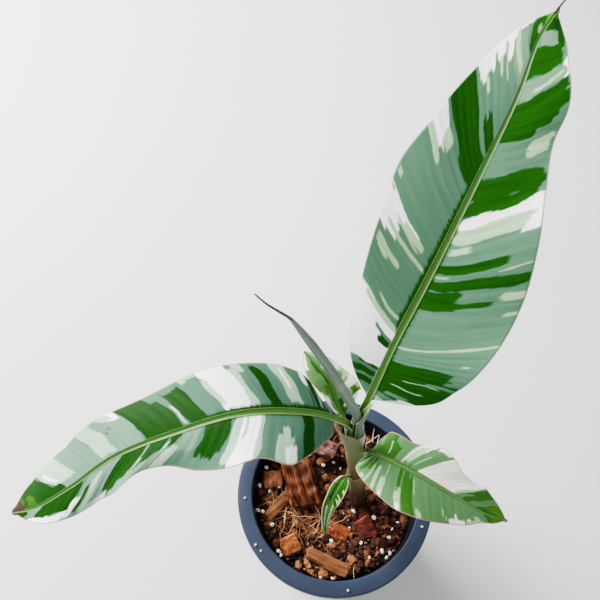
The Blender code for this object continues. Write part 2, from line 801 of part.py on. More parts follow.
def block(name, middle, size, turns, seed, extra=0.0, finish=None):
    """A broken block of bark: a box with knocked corners, the hull of its jittered points.

    Extra makes it larger all round.
    """
    draw = np.random.default_rng(seed)
    corners = np.array([(x, y, z) for x in (-1, 1) for y in (-1, 1) for z in (-1, 1)], float)
    middles = np.concatenate([np.eye(3), -np.eye(3)])
    knocked = 0.5 * corners * (1 - 0.28 * draw.random((8, 3)))
    swollen = 0.52 * middles * (1 - 0.1 * draw.random((6, 3)))
    points = np.concatenate([knocked, swollen]) * (np.array(size) + 2 * extra)
    turn = Matrix.Identity(3)
    for axis, angle in zip("XYZ", turns):
        turn = Matrix.Rotation(math.radians(angle), 3, axis) @ turn
    work = bmesh.new()
    for point in points:
        work.verts.new(turn @ Vector(point) + Vector(middle))
    hull = bmesh.ops.convex_hull(work, input=work.verts)
    bmesh.ops.delete(work, geom=hull["geom_interior"], context="VERTS")
    mesh = bpy.data.meshes.new(name)
    work.to_mesh(mesh)
    work.free()
    obj = bpy.data.objects.new(name, mesh)
    bpy.context.scene.collection.objects.link(obj)
    if finish:
        mesh.materials.append(finish)
    return obj


def mix_height(x, y):
    """The lie of the bark mix: low swells, highest round the stem and at the left."""
    along_x = 1.6 * math.sin(61 * x + 0.6)
    along_y = 1.3 * math.sin(83 * y - 1.1)
    across = 0.9 * math.sin(140 * (x + y))
    return MIX_LEVEL + (along_x + along_y + across) * MM


def mix_body():
    """The mix as one solid that fills the pot up to a little under its rim."""
    low = [
        (BASE_RADIUS - POT_WALL - BASE_ROUND - GAP, POT_FLOOR + GAP),
        (inner_wall(POT_FLOOR + BASE_ROUND) - GAP, POT_FLOOR + BASE_ROUND + GAP),
    ]
    rim = (inner_wall(MIX_LEVEL) - GAP, MIX_LEVEL - 1.5 * MM)
    surface = [(rim[0] * (1 - ring / MIX_RINGS), None) for ring in range(1, MIX_RINGS)]
    points = []
    for radius, height in [*low, rim, *surface]:
        for j in range(POT_SIDES):
            x = radius * math.cos(TURN * j / POT_SIDES)
            y = radius * math.sin(TURN * j / POT_SIDES)
            points.append((x, y, mix_height(x, y) if height is None else height))
    last, middle = len(points) - POT_SIDES, len(points)
    points.append((0, 0, mix_height(0, 0)))
    faces = ring_faces(len(points) // POT_SIDES, POT_SIDES)[:-1]
    faces += [(last + j, last + (j + 1) % POT_SIDES, middle) for j in range(POT_SIDES)]
    return add_object("bark_mix", points, faces, material("bark_mix", (0.17, 0.08, 0.045), 0.9))


def small_chips():
    """Small chips of bark, strewn by a seeded rule and sunk into the mix."""
    draw = np.random.default_rng(CHIP_SEED)
    chips = []
    for index in range(SMALL_CHIPS):
        angle = index * GOLDEN_ANGLE
        radius = SMALL_CHIP_CIRCLE * math.sqrt((index + 0.5) / SMALL_CHIPS)
        x, y = radius * math.cos(angle), radius * math.sin(angle)
        length = draw.uniform(*SMALL_CHIP_SIZE)
        size = (length, length * draw.uniform(0.55, 0.9), length * draw.uniform(0.5, 0.7))
        turns = draw.uniform(-24, 24, 2).tolist() + [draw.uniform(0, 180)]
        middle = (x, y, mix_height(x, y) + 0.1 * size[2])
        chips.append(block("chip", middle, size, turns, SMALL_CHIP_SEED + index))
    return chips


def chunk_of(row, index, extra=0.0, finish=None):
    name, middle, size, turns, _ = row
    middle = np.array(middle) * MM
    size = np.array(size) * MM
    return block(name, middle, size, turns, CHUNK_SEED + index, extra, finish)


def build_mix_and_chunks():
    mix = mix_body()
    combine(mix, small_chips(), "UNION")
    cutters = [chunk_of(row, index, 1.2 * GAP) for index, row in enumerate(CHUNKS)]
    cutters.append(stem_hole())
    cutters.append(corm_body("corm_hole", GAP))
    cutters += roots(GAP)
    combine(mix, cutters, "DIFFERENCE")
    keep_largest(mix)
    for index, row in enumerate(CHUNKS):
        chunk_of(row, index, 0.0, material(row[0], row[4], 0.85))


def main():
    clear_scene()
    build_pot()
    build_mix_and_chunks()
    build_corm()
    build_spear()
    for leaf in LEAVES:
        build_leaf(leaf)


main()
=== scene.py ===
"""A potted variegated banana plant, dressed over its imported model.

Metres, +Z up. The pot stands on z = 0 with its middle on the Z axis. Sizes in tables are in mm.
"""

from __future__ import annotations

import logging
import math
from dataclasses import dataclass, field, replace
from enum import Enum

import bmesh
import bpy
import numpy as np
from mathutils import Matrix, Vector, noise


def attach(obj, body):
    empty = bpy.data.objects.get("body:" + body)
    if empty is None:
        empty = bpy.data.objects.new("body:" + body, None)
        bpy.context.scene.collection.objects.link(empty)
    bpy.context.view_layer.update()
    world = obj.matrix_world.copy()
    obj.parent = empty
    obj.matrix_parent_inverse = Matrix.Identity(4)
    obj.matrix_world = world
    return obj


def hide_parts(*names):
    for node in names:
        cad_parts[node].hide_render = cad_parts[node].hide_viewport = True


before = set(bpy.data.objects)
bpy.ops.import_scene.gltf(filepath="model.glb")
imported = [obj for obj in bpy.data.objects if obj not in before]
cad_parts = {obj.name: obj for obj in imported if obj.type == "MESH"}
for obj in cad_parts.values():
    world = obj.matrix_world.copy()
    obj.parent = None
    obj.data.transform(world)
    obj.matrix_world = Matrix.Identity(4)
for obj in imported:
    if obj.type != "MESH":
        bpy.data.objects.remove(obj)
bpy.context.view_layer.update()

log = logging.getLogger("banana")

MM = 0.001
TURN = 2 * math.pi


# Helpers for nodes


def linear(hex_colour: str) -> tuple[float, float, float, float]:
    """Turns a colour linear.

    Args:
        hex_colour: its sRGB hex value.

    Returns:
        Its linear RGBA.
    """
    parts = [int(hex_colour[i : i + 2], 16) / 255 for i in (1, 3, 5)]
    found = [c / 12.92 if c <= 0.04045 else ((c + 0.055) / 1.055) ** 2.4 for c in parts]
    return (*found, 1.0)


def feed(tree: bpy.types.NodeTree, node: bpy.types.Node, inputs: dict | list) -> None:
    """Sets or links a node's inputs.

    Args:
        tree: the tree that holds the node.
        node: the node.
        inputs: what each input is given, by name or index, or a list of what the first ones are
            given: a value, an sRGB hex colour, an output, or a node, for its first output in use.
    """
    for key, value in dict(inputs if isinstance(inputs, dict) else enumerate(inputs)).items():
        if isinstance(value, bpy.types.Node):
            value = next(output for output in value.outputs if output.enabled)
        if isinstance(value, bpy.types.NodeSocket):
            tree.links.new(value, node.inputs[key])
        elif isinstance(value, str) and value.startswith("#"):
            node.inputs[key].default_value = linear(value)
        else:
            node.inputs[key].default_value = value


def put(tree: bpy.types.NodeTree, kind: str, inputs: dict | list = (),
        **settings: object) -> bpy.types.Node:
    """Adds a node with its settings and links.

    Args:
        tree: the tree that gets the node.
        kind: the node's type.
        inputs: what its inputs are given, as for feed.
        settings: the node's own properties.

    Returns:
        The new node.
    """
    node = tree.nodes.new(kind)
    for name, value in settings.items():
        setattr(node, name, value)
    feed(tree, node, inputs)
    return node


def painted(tree: bpy.types.NodeTree, name: str) -> tuple[bpy.types.NodeSocket, ...]:
    """A vector that the piece's vertices carry, whole and as its three parts."""
    whole = put(tree, "ShaderNodeAttribute", attribute_name=name).outputs["Vector"]
    return whole, *put(tree, "ShaderNodeSeparateXYZ", [whole]).outputs


def streaky(tree: bpy.types.NodeTree, where: bpy.types.NodeSocket, scales: tuple,
            **more: object) -> bpy.types.Node:
    """A noise with a scale of its own each way, for veins and fibres."""
    drawn = put(tree, "ShaderNodeMapping", {0: where, "Scale": scales})
    return put(tree, "ShaderNodeTexNoise", {"Vector": drawn, "Scale": 1.0, "Detail": 3, **more})


def coats(tree: bpy.types.NodeTree, ground: bpy.types.Node | str, *layers: tuple) -> bpy.types.Node:
    """Lays coats of colour over one another.

    Args:
        tree: the material's tree.
        ground: the lowest colour.
        layers: the share and the colour of each coat, the lowest first.

    Returns:
        The node that gives the colour on top.
    """
    for share, tint in layers:
        ground = put(tree, "ShaderNodeMix", {0: share, 6: ground, 7: tint}, data_type="RGBA")
    return ground


def lined(tree: bpy.types.NodeTree, colour: bpy.types.Node, fine: bpy.types.Node, low: float,
          high: float) -> bpy.types.Node:
    """A colour made darker and lighter along fine lines, from low to high times itself."""
    shade = put(tree, "ShaderNodeMapRange", [fine, 0.3, 0.7, low, high])
    return put(tree, "ShaderNodeVectorMath", {0: colour, "Scale": shade}, operation="SCALE")


def start_tree(name: str, sizes: dict[str, float]) -> tuple[bpy.types.NodeTree, bpy.types.NodeOutputs]:
    """A Geometry Nodes tree that takes a shape and sizes.

    Args:
        name: the tree's name.
        sizes: each named input with its value, a whole number where it counts.

    Returns:
        The tree, and its inputs as outputs inside it.
    """
    tree = bpy.data.node_groups.new(name, "GeometryNodeTree")
    tree.interface.new_socket("Geometry", in_out="INPUT", socket_type="NodeSocketGeometry")
    for label, value in sizes.items():
        kind = "NodeSocketInt" if isinstance(value, int) else "NodeSocketFloat"
        tree.interface.new_socket(label, in_out="INPUT", socket_type=kind)
    tree.interface.new_socket("Geometry", in_out="OUTPUT", socket_type="NodeSocketGeometry")
    return tree, put(tree, "NodeGroupInput").outputs


def grow(obj: bpy.types.Object, tree: bpy.types.NodeTree, shape: bpy.types.Node,
         material: bpy.types.Material, sizes: dict[str, float]) -> None:
    """Ends a Geometry Nodes tree, puts an object through it and keeps the result as a plain mesh.

    Args:
        obj: the object that the tree starts from.
        tree: the tree.
        shape: the node that gives the finished shape.
        material: the shape's finish.
        sizes: the value of each named input.
    """
    whole = put(tree, "GeometryNodeRealizeInstances", [shape])
    done = put(tree, "GeometryNodeSetMaterial", {"Geometry": whole, "Material": material})
    put(tree, "NodeGroupOutput", {"Geometry": done})
    step = obj.modifiers.new(tree.name, "NODES")
    step.node_group = tree
    for socket in tree.interface.items_tree:
        if socket.in_out == "INPUT" and socket.name in sizes:
            step[socket.identifier] = sizes[socket.name]
    bpy.context.view_layer.update()
    result = bpy.data.meshes.new_from_object(obj.evaluated_get(bpy.context.evaluated_depsgraph_get()))
    obj.modifiers.clear()
    obj.data = result


# Helpers for meshes


def new_mesh(name: str, points: np.ndarray, faces: list, material: bpy.types.Material | None = None,
             edges: list = (), smooth: bool = True, **marks: np.ndarray) -> bpy.types.Object:
    """A mesh object, linked to the scene.

    Args:
        name: the object's name.
        points: vertex places in metres.
        faces: tuples of vertex numbers.
        material: the finish, if it has one already.
        edges: pairs of vertex numbers, where there are no faces.
        smooth: whether it is shaded smooth.
        marks: float, vector or colour attributes of the vertices, by name.

    Returns:
        The new object.
    """
    kinds = {1: ("FLOAT", "value"), 3: ("FLOAT_VECTOR", "vector"), 4: ("FLOAT_COLOR", "color")}
    mesh = bpy.data.meshes.new(name)
    mesh.from_pydata(np.asarray(points, float).tolist(), edges, faces)
    if smooth:
        mesh.shade_smooth()
    if material:
        mesh.materials.append(material)
    for label, values in marks.items():
        values = np.asarray(values, np.float32)
        kind, key = kinds[values.size // len(points)]
        mesh.attributes.new(label, kind, "POINT").data.foreach_set(key, values.ravel())
    obj = bpy.data.objects.new(name, mesh)
    bpy.context.scene.collection.objects.link(obj)
    return obj


def slab_faces(rows: int, columns: int) -> list[tuple[int, ...]]:
    """Faces of a thin slab: an upper and a lower grid and the band round their edge.

    Args:
        rows: rows of points on each side.
        columns: points in a row.

    Returns:
        The faces, with the upper side's points numbered first.
    """
    under = rows * columns
    faces = []
    for i in range(rows - 1):
        for j in range(columns - 1):
            a = i * columns + j
            b, c, d = a + 1, a + columns + 1, a + columns
            faces += [(a, b, c, d), (under + d, under + c, under + b, under + a)]
    edge = list(range(columns))
    edge += [i * columns + columns - 1 for i in range(1, rows)]
    edge += [(rows - 1) * columns + j for j in range(columns - 2, -1, -1)]
    edge += [i * columns for i in range(rows - 2, 0, -1)]
    faces += [(b, a, under + a, under + b) for a, b in zip(edge, edge[1:] + edge[:1])]
    return faces


def ring_faces(rings: int, sides: int) -> list[tuple[int, ...]]:
    """Faces of a tube of closed rings, with one face on each end.

    Args:
        rings: how many rings.
        sides: points in a ring.

    Returns:
        The faces, with the two ends last.
    """
    faces = []
    for i in range(rings - 1):
        for j in range(sides):
            a, b = i * sides + j, i * sides + (j + 1) % sides
            faces.append((a, b, b + sides, a + sides))
    return [*faces, tuple(range(sides))[::-1], tuple((rings - 1) * sides + j for j in range(sides))]


def shifted(faces: list, count: int) -> list[tuple[int, ...]]:
    """Faces that follow count other points in a mesh."""
    return [tuple(v + count for v in face) for face in faces]


def outwards(obj: bpy.types.Object) -> bpy.types.Object:
    """Turns the faces of each closed shell outwards.

    Args:
        obj: the piece.

    Returns:
        The same piece.
    """
    work = bmesh.new()
    work.from_mesh(obj.data)
    bmesh.ops.recalc_face_normals(work, faces=work.faces)
    work.to_mesh(obj.data)
    work.free()
    return obj


def walked(points: np.ndarray) -> np.ndarray:
    """The distance to each point of a row, along it from its start."""
    return np.concatenate([[0], np.cumsum(np.linalg.norm(np.diff(points, axis=0), axis=1))])


def rows_of(*parts: np.ndarray | float) -> np.ndarray:
    """Grids of values side by side, with a row for each vertex."""
    return np.stack(np.broadcast_arrays(*parts), axis=-1).reshape(-1, len(parts))


def eased(share: np.ndarray) -> np.ndarray:
    """Rises smoothly from 0 to 1."""
    share = np.clip(share, 0, 1)
    return share * share * (3 - 2 * share)


def angle_bump(angle: np.ndarray, middle: float, width: float, flat: float = 2.0) -> np.ndarray:
    """1 at the middle angle, falling to 0 away from it, in degrees, with a top as flat as flat says."""
    away = (angle - middle + 180) % 360 - 180
    return np.exp(-(np.abs(away / width) ** flat))


def smooth_values(at: np.ndarray, values: np.ndarray, where: np.ndarray) -> np.ndarray:
    """Values between given ones, on a smooth curve through them.

    Args:
        at: where the given values stand, rising.
        values: the given values, or rows of them.
        where: the places to read.

    Returns:
        A value, or a row, for each place.
    """
    at, values = np.asarray(at, float), np.asarray(values, float)
    slope = np.gradient(values, at, axis=0)
    i = np.clip(np.searchsorted(at, where) - 1, 0, len(at) - 2)
    span = at[i + 1] - at[i]
    t = (where - at[i]) / span
    if values.ndim == 2:
        span, t = span[:, None], t[:, None]
    return (
        (1 + 2 * t) * (1 - t) ** 2 * values[i]
        + t * (1 - t) ** 2 * span * slope[i]
        + t * t * (3 - 2 * t) * values[i + 1]
        + t * t * (t - 1) * span * slope[i + 1]
    )


class Line:
    """A smooth line through points, read by distance along it, with a frame: along, right and up."""

    SAMPLES = 500

    def __init__(self, points_mm: np.ndarray, level_from: float = 0.0) -> None:
        """Lays the line and its frames.

        Args:
            points_mm: the points it passes through.
            level_from: the distance past which its up side is the upper side.
        """
        points = np.asarray(points_mm, float) * MM
        at = walked(points)
        dense = smooth_values(at, points, np.linspace(0, at[-1], self.SAMPLES))
        run = walked(dense)
        self.length = run[-1]
        self.at = np.linspace(0, self.length, self.SAMPLES)
        self.middle = np.stack([np.interp(self.at, run, dense[:, k]) for k in range(3)], axis=1)
        self.along = np.gradient(self.middle, axis=0)
        self.along /= np.linalg.norm(self.along, axis=1)[:, None]
        self.up = np.array([0.0, 0.0, 1.0]) - self.along[:, 2:] * self.along
        self.up /= np.linalg.norm(self.up, axis=1)[:, None]
        for i in range(int(np.searchsorted(self.at, level_from)) - 1, -1, -1):
            carried = self.up[i + 1] - (self.up[i + 1] @ self.along[i]) * self.along[i]
            self.up[i] = carried / np.linalg.norm(carried)
        self.right = np.cross(self.along, self.up)

    def read(self, where: np.ndarray) -> list[np.ndarray]:
        """Reads the line.

        Args:
            where: distances along it.

        Returns:
            The middle, right and up at each distance.
        """
        where = np.clip(where, 0, self.length)
        return [
            np.stack([np.interp(where, self.at, table[:, k]) for k in range(3)], axis=-1)
            for table in (self.middle, self.right, self.up)
        ]

    def rings(self, where: np.ndarray, radii: np.ndarray, angles: np.ndarray) -> np.ndarray:
        """Points of rings round the line.

        Args:
            where: each ring's distance along the line.
            radii: the points' distances from the line, with a row for each ring.
            angles: their angles from the right side towards the upper one, likewise.

        Returns:
            The points, ring after ring.
        """
        middle, right, up = self.read(where)
        sideways, upwards = np.cos(angles)[..., None], np.sin(angles)[..., None]
        points = middle[:, None] + radii[..., None] * (sideways * right[:, None] + upwards * up[:, None])
        return points.reshape(-1, 3)


def dry_thread(route: tuple, radius: float, rings: int) -> tuple[np.ndarray, list]:
    """The dry thread at the tip of a new leaf.

    Args:
        route: the points it passes through, in mm.
        radius: its radius in mm where it starts.
        rings: how many rings it has.

    Returns:
        Its points and faces.
    """
    sides, end_radius = 8, 0.45
    line = Line(route)
    radii = np.linspace(radius, end_radius, rings)[:, None] * MM
    where = np.linspace(0, line.length, rings)
    return line.rings(where, radii, np.arange(sides) * TURN / sides), ring_faces(rings, sides)


def rides(obj: bpy.types.Object, slot: str, *nodes: str) -> None:
    """Puts a finished piece on the plant's one body.

    Args:
        obj: the piece.
        slot: the material slot that it would take its finish from; not used.
        nodes: the nodes that it stands for, if it does.
    """
    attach(obj, "root")
    if nodes:
        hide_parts(*nodes)
    log.info("%s: %d triangles", obj.name, sum(len(face.vertices) - 2 for face in obj.data.polygons))


# Finishes


class Tone(Enum):
    """The tones of a variegated banana leaf, as weights of white, pale, grey and fresh green over dark."""

    DARK = (0.0, 0.0, 0.0, 0.0)
    WHITE = (1.0, 0.0, 0.0, 0.0)
    PALE = (0.0, 1.0, 0.0, 0.0)
    GREY = (0.0, 0.0, 1.0, 0.0)
    FRESH = (0.0, 0.0, 0.0, 1.0)
    MIST = (0.0, 0.2, 1.0, 0.0)


# Light goes about a millimetre into living leaf tissue, and green light furthest.
LIVING = {"Subsurface Radius": (0.6, 1.0, 0.35), "Subsurface Scale": 0.0015}


@dataclass(frozen=True)
class Finish:
    """A finish, named for the real material."""

    name: str

    def surface(self, tree: bpy.types.NodeTree) -> dict:
        """What the shader's inputs are given, as for feed."""
        raise NotImplementedError

    def material(self) -> bpy.types.Material:
        """Makes the finish.

        Returns:
            Its node material.
        """
        made = bpy.data.materials.new(self.name)
        made.use_nodes = True
        feed(made.node_tree, made.node_tree.nodes["Principled BSDF"], self.surface(made.node_tree))
        return made


@dataclass(frozen=True)
class LeafSkin(Finish):
    """Living banana leaf blade: waxy cuticle over side veins a millimetre apart.

    To the eye: satin, faintly ribbed, in flat streaks of colour with crisp ends, paler and duller
    underneath, with a thin pinkish-brown margin.
    """

    dark: str = "#0b4400"
    deep: str = "#062f00"
    grey: str = "#4a7057"
    teal: str = "#3b614a"
    pale: str = "#94b68b"
    white: str = "#fafcf8"
    fresh: str = "#2f6a04"
    under: str = "#8fae8c"
    margin: str = "#a5796a"
    dry: str = "#2c1a12"
    flank: str = "#457a30"
    flank_mm: float = 1.3
    vein_mm: float = 1.1

    def surface(self, tree: bpy.types.NodeTree) -> dict:
        """Lays the tones, the flank of the rib, the paler underside, the margin and the dry tip.

        Args:
            tree: the material's tree.

        Returns:
            What the shader's inputs are given, from the blade's own attributes.
        """
        tones = put(tree, "ShaderNodeAttribute", attribute_name="tones")
        white, pale, grey = put(tree, "ShaderNodeSeparateColor", [tones]).outputs
        lines, _, _, margin_mm = painted(tree, "veins")
        _, rib_mm, upper, dry = painted(tree, "skin")
        fine = streaky(tree, lines, (1000 / self.vein_mm, 40, 0), Scale=0.8)
        broad = streaky(tree, lines, (150, 18, 0), Detail=2)
        greys = coats(tree, self.teal, (broad, self.grey))
        flank = put(tree, "ShaderNodeMapRange", [rib_mm, self.flank_mm, 0.45 * self.flank_mm, 0.0, 0.8])
        colour = coats(tree, self.deep, (broad, self.dark), (grey, greys),
                       (tones.outputs["Alpha"], self.fresh), (pale, self.pale), (white, self.white),
                       (flank, self.flank))
        turned = put(tree, "ShaderNodeMapRange", [upper, 0.6, 0.4, 0.0, 0.4])
        rim = put(tree, "ShaderNodeMapRange", [margin_mm, 0.9, 0.35, 0.0, 0.75])
        return {
            "Base Color": coats(tree, lined(tree, colour, fine, 0.88, 1.06), (turned, self.under),
                                (rim, self.margin), (dry, self.dry)),
            "Normal": put(tree, "ShaderNodeBump", {"Height": fine, "Strength": 0.35, "Distance": 0.0002}),
            "Roughness": put(tree, "ShaderNodeMapRange", [fine, 0.2, 0.8, 0.45, 0.6]),
            "Specular IOR Level": 0.03,
            "Subsurface Weight": 0.12,
            **LIVING,
        }


@dataclass(frozen=True)
class RibSkin(Finish):
    """Petiole and midrib: smooth waxy stalk with a yellow-green channel between pale edges."""

    name: str = "banana midrib"
    channel_base: str = "#598406"
    channel_tip: str = "#48763a"
    edge_base: str = "#84a05e"
    edge_tip: str = "#5f8455"
    back: str = "#6a8a66"
    # Painted light and painted shade for the channel's two walls, set by the side the light falls from.
    lit_wall: str = "#709a58"
    deep: str = "#3c7a14"
    dry: str = "#3d1f22"

    def surface(self, tree: bpy.types.NodeTree) -> dict:
        """Lays the channel between its edges, with painted light on one wall and painted shade on the
        other, the waxy back and the dry thread.

        Args:
            tree: the material's tree.

        Returns:
            What the shader's inputs are given, from the rod's own attributes.
        """
        _, zone, out, dry = painted(tree, "rod")
        lines, _, _, side = painted(tree, "veins")
        fine = streaky(tree, lines, (1800, 60, 0))
        # Painted light on one wall of the channel and painted shade on the other, set by the leaf's lit side.
        lit_wall = put(tree, "ShaderNodeMapRange", [side, 0.0, 0.0009, 0.0, 0.75])
        deep = put(tree, "ShaderNodeMapRange", [side, -0.0004, -0.0011, 0.0, 0.7])
        channel = coats(tree, self.channel_base, (out, self.channel_tip), (lit_wall, self.lit_wall),
                        (deep, self.deep))
        inside = put(tree, "ShaderNodeMapRange", [zone, 0.45, 0.7])
        outside = put(tree, "ShaderNodeMapRange", [zone, 0.15, 0.35, 1.0, 0.0])
        colour = coats(tree, self.edge_base, (out, self.edge_tip), (inside, channel), (outside, self.back))
        return {
            "Base Color": coats(tree, lined(tree, colour, fine, 0.88, 1.06), (dry, self.dry)),
            "Normal": put(tree, "ShaderNodeBump", {"Height": fine, "Strength": 0.3, "Distance": 0.0002}),
            "Roughness": 0.42,
            "Subsurface Weight": 0.1,
            **LIVING,
        }


@dataclass(frozen=True)
class SheathSkin(Finish):
    """Leaf sheath with a waxy bloom: matt grey-green, finely lined upwards, with a dry papery edge."""

    bloom: str = "#7f9983"
    shade: str = "#69836e"
    warm: str = "#7b8233"
    edge: str = "#b08470"
    dry: str = "#6a3e2c"
    # The foot's dark brown: older sheath, and partly painted shade low on the stem.
    foot: str = "#43341a"
    edge_mm: float = 1.2

    def surface(self, tree: bpy.types.NodeTree) -> dict:
        """Lays the bloom, the warm patch at the petiole, the older, darker foot, which is partly painted
        shade, and the dry edge.

        Args:
            tree: the material's tree.

        Returns:
            What the shader's inputs are given, from the sheath's own attributes.
        """
        _, edge, warm, aged_and_shaded = painted(tree, "skin")
        lines = put(tree, "ShaderNodeAttribute", attribute_name="veins").outputs["Vector"]
        fine = streaky(tree, lines, (1500, 45, 0))
        cloud = put(tree, "ShaderNodeTexNoise", {"Vector": lines, "Scale": 160, "Detail": 3})
        colour = coats(tree, self.shade, (cloud, self.bloom), (warm, self.warm), (aged_and_shaded, self.foot))
        wide = self.edge_mm
        ragged = put(tree, "ShaderNodeMath", [cloud, 0.8 * wide, edge], operation="MULTIPLY_ADD")
        near = put(tree, "ShaderNodeMapRange", [ragged, 1.5 * wide, wide, 0.0, 0.9])
        last = put(tree, "ShaderNodeMapRange", [ragged, 0.8 * wide, 0.4 * wide, 0.0, 0.9])
        return {
            "Base Color": coats(tree, lined(tree, colour, fine, 0.82, 1.08), (near, self.edge),
                                (last, self.dry)),
            "Normal": put(tree, "ShaderNodeBump", {"Height": fine, "Strength": 0.4, "Distance": 0.0002}),
            "Roughness": 0.5,
            "Subsurface Weight": 0.08,
            **LIVING,
        }


@dataclass(frozen=True)
class MouldedPolypropylene(Finish):
    """Injection-moulded polypropylene, matt: spark grain, faint scuffs, and a dark inside that is painted
    shade with some dirt.

    The grain is drawn about twice as coarse as the real one.
    """

    name: str = "moulded polypropylene"
    body: str = "#1e2636"
    scuffed: str = "#293142"
    # The inside's near black is painted shade, with some dirt.
    inside: str = "#06080c"
    grain_mm: float = 0.35

    def surface(self, tree: bpy.types.NodeTree) -> dict:
        """Lays the grain, the scuffs and the dark inside, which is painted shade with some dirt.

        Args:
            tree: the material's tree.

        Returns:
            What the shader's inputs are given, in object coordinates.
        """
        where = put(tree, "ShaderNodeTexCoord").outputs["Object"]
        # How much painted shade and dirt darken the inside, carried by the pot's vertices.
        inner = put(tree, "ShaderNodeAttribute", attribute_name="inside").outputs["Fac"]
        grain = put(tree, "ShaderNodeTexNoise", {"Vector": where, "Scale": 1000 / self.grain_mm, "Detail": 2})
        cloud = put(tree, "ShaderNodeTexNoise", {"Vector": where, "Scale": 45, "Detail": 4})
        scuff = put(tree, "ShaderNodeMapRange", [cloud, 0.45, 0.75, 0.0, 0.4])
        return {
            "Base Color": coats(tree, self.body, (scuff, self.scuffed), (inner, self.inside)),
            "Normal": put(tree, "ShaderNodeBump", {"Height": grain, "Strength": 0.25, "Distance": 0.0001}),
            "Roughness": put(tree, "ShaderNodeMapRange", [cloud, 0.3, 0.8, 0.42, 0.6]),
            "Specular IOR Level": 0.12,
        }


@dataclass(frozen=True)
class DampBark(Finish):
    """Damp composted bark, coir and husk: dark cracks, fibres along the grain, lighter where broken.

    Pieces that carry the attribute tint run from near black through red-brown to tan, with a ruddier,
    near-black patch of the mix at the right of the stem: partly the mix's own redder tone, partly
    painted shade. Real fibres lie 0.2 to 0.4 mm apart: they are drawn coarser, or they wouldn't show.
    """

    low: str = "#1c0f0b"
    middle: str = "#5a2c18"
    high: str = "#a4683c"
    ruddy_and_shaded: str = "#240703"
    fibre_mm: float = 0.7
    along: tuple[float, float, float] = (1.0, 1.0, 1.0)
    rough: float = 0.72
    tinted: bool = False
    # Middle and reach of the redder, near-black patch, which is partly painted shade.
    patch: tuple[float, float, float] = (0.036, 0.006, 0.118)
    patch_reach: tuple[float, float] = (0.056, 0.03)

    def surface(self, tree: bpy.types.NodeTree) -> dict:
        """Lays the fibres, the lumps and, on a tinted piece, the ruddier patch, which is partly painted
        shade.

        Args:
            tree: the material's tree.

        Returns:
            What the shader's inputs are given, in object coordinates or in a block's own.
        """
        if self.tinted:
            where = put(tree, "ShaderNodeTexCoord").outputs["Object"]
        else:
            where = put(tree, "ShaderNodeAttribute", attribute_name="own").outputs["Vector"]
        fibre = streaky(tree, where, [1000 / self.fibre_mm * a for a in self.along], Detail=4, Distortion=0.4)
        lumps = streaky(tree, where, [190 * max(a, 0.22) for a in self.along])
        level, ends = put(tree, "ShaderNodeMath", [fibre, lumps], operation="ADD"), (0.72, 1.3)
        if self.tinted:
            tint = put(tree, "ShaderNodeAttribute", attribute_name="tint").outputs["Fac"]
            spread = put(tree, "ShaderNodeMath", [tint, 0.9, 0.05], operation="MULTIPLY_ADD")
            mixed = put(tree, "ShaderNodeMath", [level, 0.45, -0.45], operation="MULTIPLY_ADD")
            level, ends = put(tree, "ShaderNodeMath", [spread, mixed], operation="ADD"), (0.1, 0.95)
        share = put(tree, "ShaderNodeMapRange", [level, *ends])
        colour = put(tree, "ShaderNodeValToRGB", [share])
        shades = colour.color_ramp.elements
        shades[0].color, shades[1].color = linear(self.low), linear(self.high)
        shades.new(0.5).color = linear(self.middle)
        # The redder patch: the mix's own redder tone, darkened to near black as painted shade.
        if self.tinted:
            away = put(tree, "ShaderNodeVectorMath", [where, self.patch], operation="DISTANCE")
            near = put(tree, "ShaderNodeMapRange", [away, *self.patch_reach])
            blots = put(tree, "ShaderNodeTexNoise", {"Vector": where, "Scale": 130, "Detail": 1})
            red = put(tree, "ShaderNodeMapRange", [blots, 0.4, 0.55, 0.0, 0.85])
            share = put(tree, "ShaderNodeMath", [near, red], operation="MULTIPLY")
            colour = coats(tree, colour, (share, self.ruddy_and_shaded))
        return {
            "Base Color": colour,
            "Normal": put(tree, "ShaderNodeBump", {"Height": fibre, "Strength": 0.6, "Distance": 0.0004}),
            "Roughness": self.rough,
            "Specular IOR Level": 0.12,
        }


@dataclass(frozen=True)
class ExpandedPerlite(Finish):
    """Expanded perlite: chalk-white glassy foam with tiny pits, faintly dirty."""

    name: str = "expanded perlite"
    white: str = "#dcd8d2"
    dirty: str = "#94887d"

    def surface(self, tree: bpy.types.NodeTree) -> dict:
        """Lays the pits and the dirt in them.

        Args:
            tree: the material's tree.

        Returns:
            What the shader's inputs are given, in object coordinates.
        """
        where = put(tree, "ShaderNodeTexCoord").outputs["Object"]
        pits = put(tree, "ShaderNodeTexNoise", {"Vector": where, "Scale": 1400, "Detail": 3})
        share = put(tree, "ShaderNodeMapRange", [pits, 0.35, 0.6])
        return {
            "Base Color": coats(tree, self.dirty, (share, self.white)),
            "Normal": put(tree, "ShaderNodeBump", {"Height": pits, "Strength": 0.6, "Distance": 0.0003}),
            "Roughness": 0.8,
        }


@dataclass(frozen=True)
class PaintedFloor(Finish):
    """Smooth matt painted board, pale grey, with the faintest mottling."""

    name: str = "pale painted floor"
    light: str = "#cbcac8"
    shade: str = "#c3c3c2"

    def surface(self, tree: bpy.types.NodeTree) -> dict:
        """Lays the mottling.

        Args:
            tree: the material's tree.

        Returns:
            What the shader's inputs are given, in object coordinates.
        """
        where = put(tree, "ShaderNodeTexCoord").outputs["Object"]
        cloud = put(tree, "ShaderNodeTexNoise", {"Vector": where, "Scale": 3, "Detail": 2})
        return {"Base Color": coats(tree, self.light, (cloud, self.shade)), "Roughness": 0.7}


# The plant


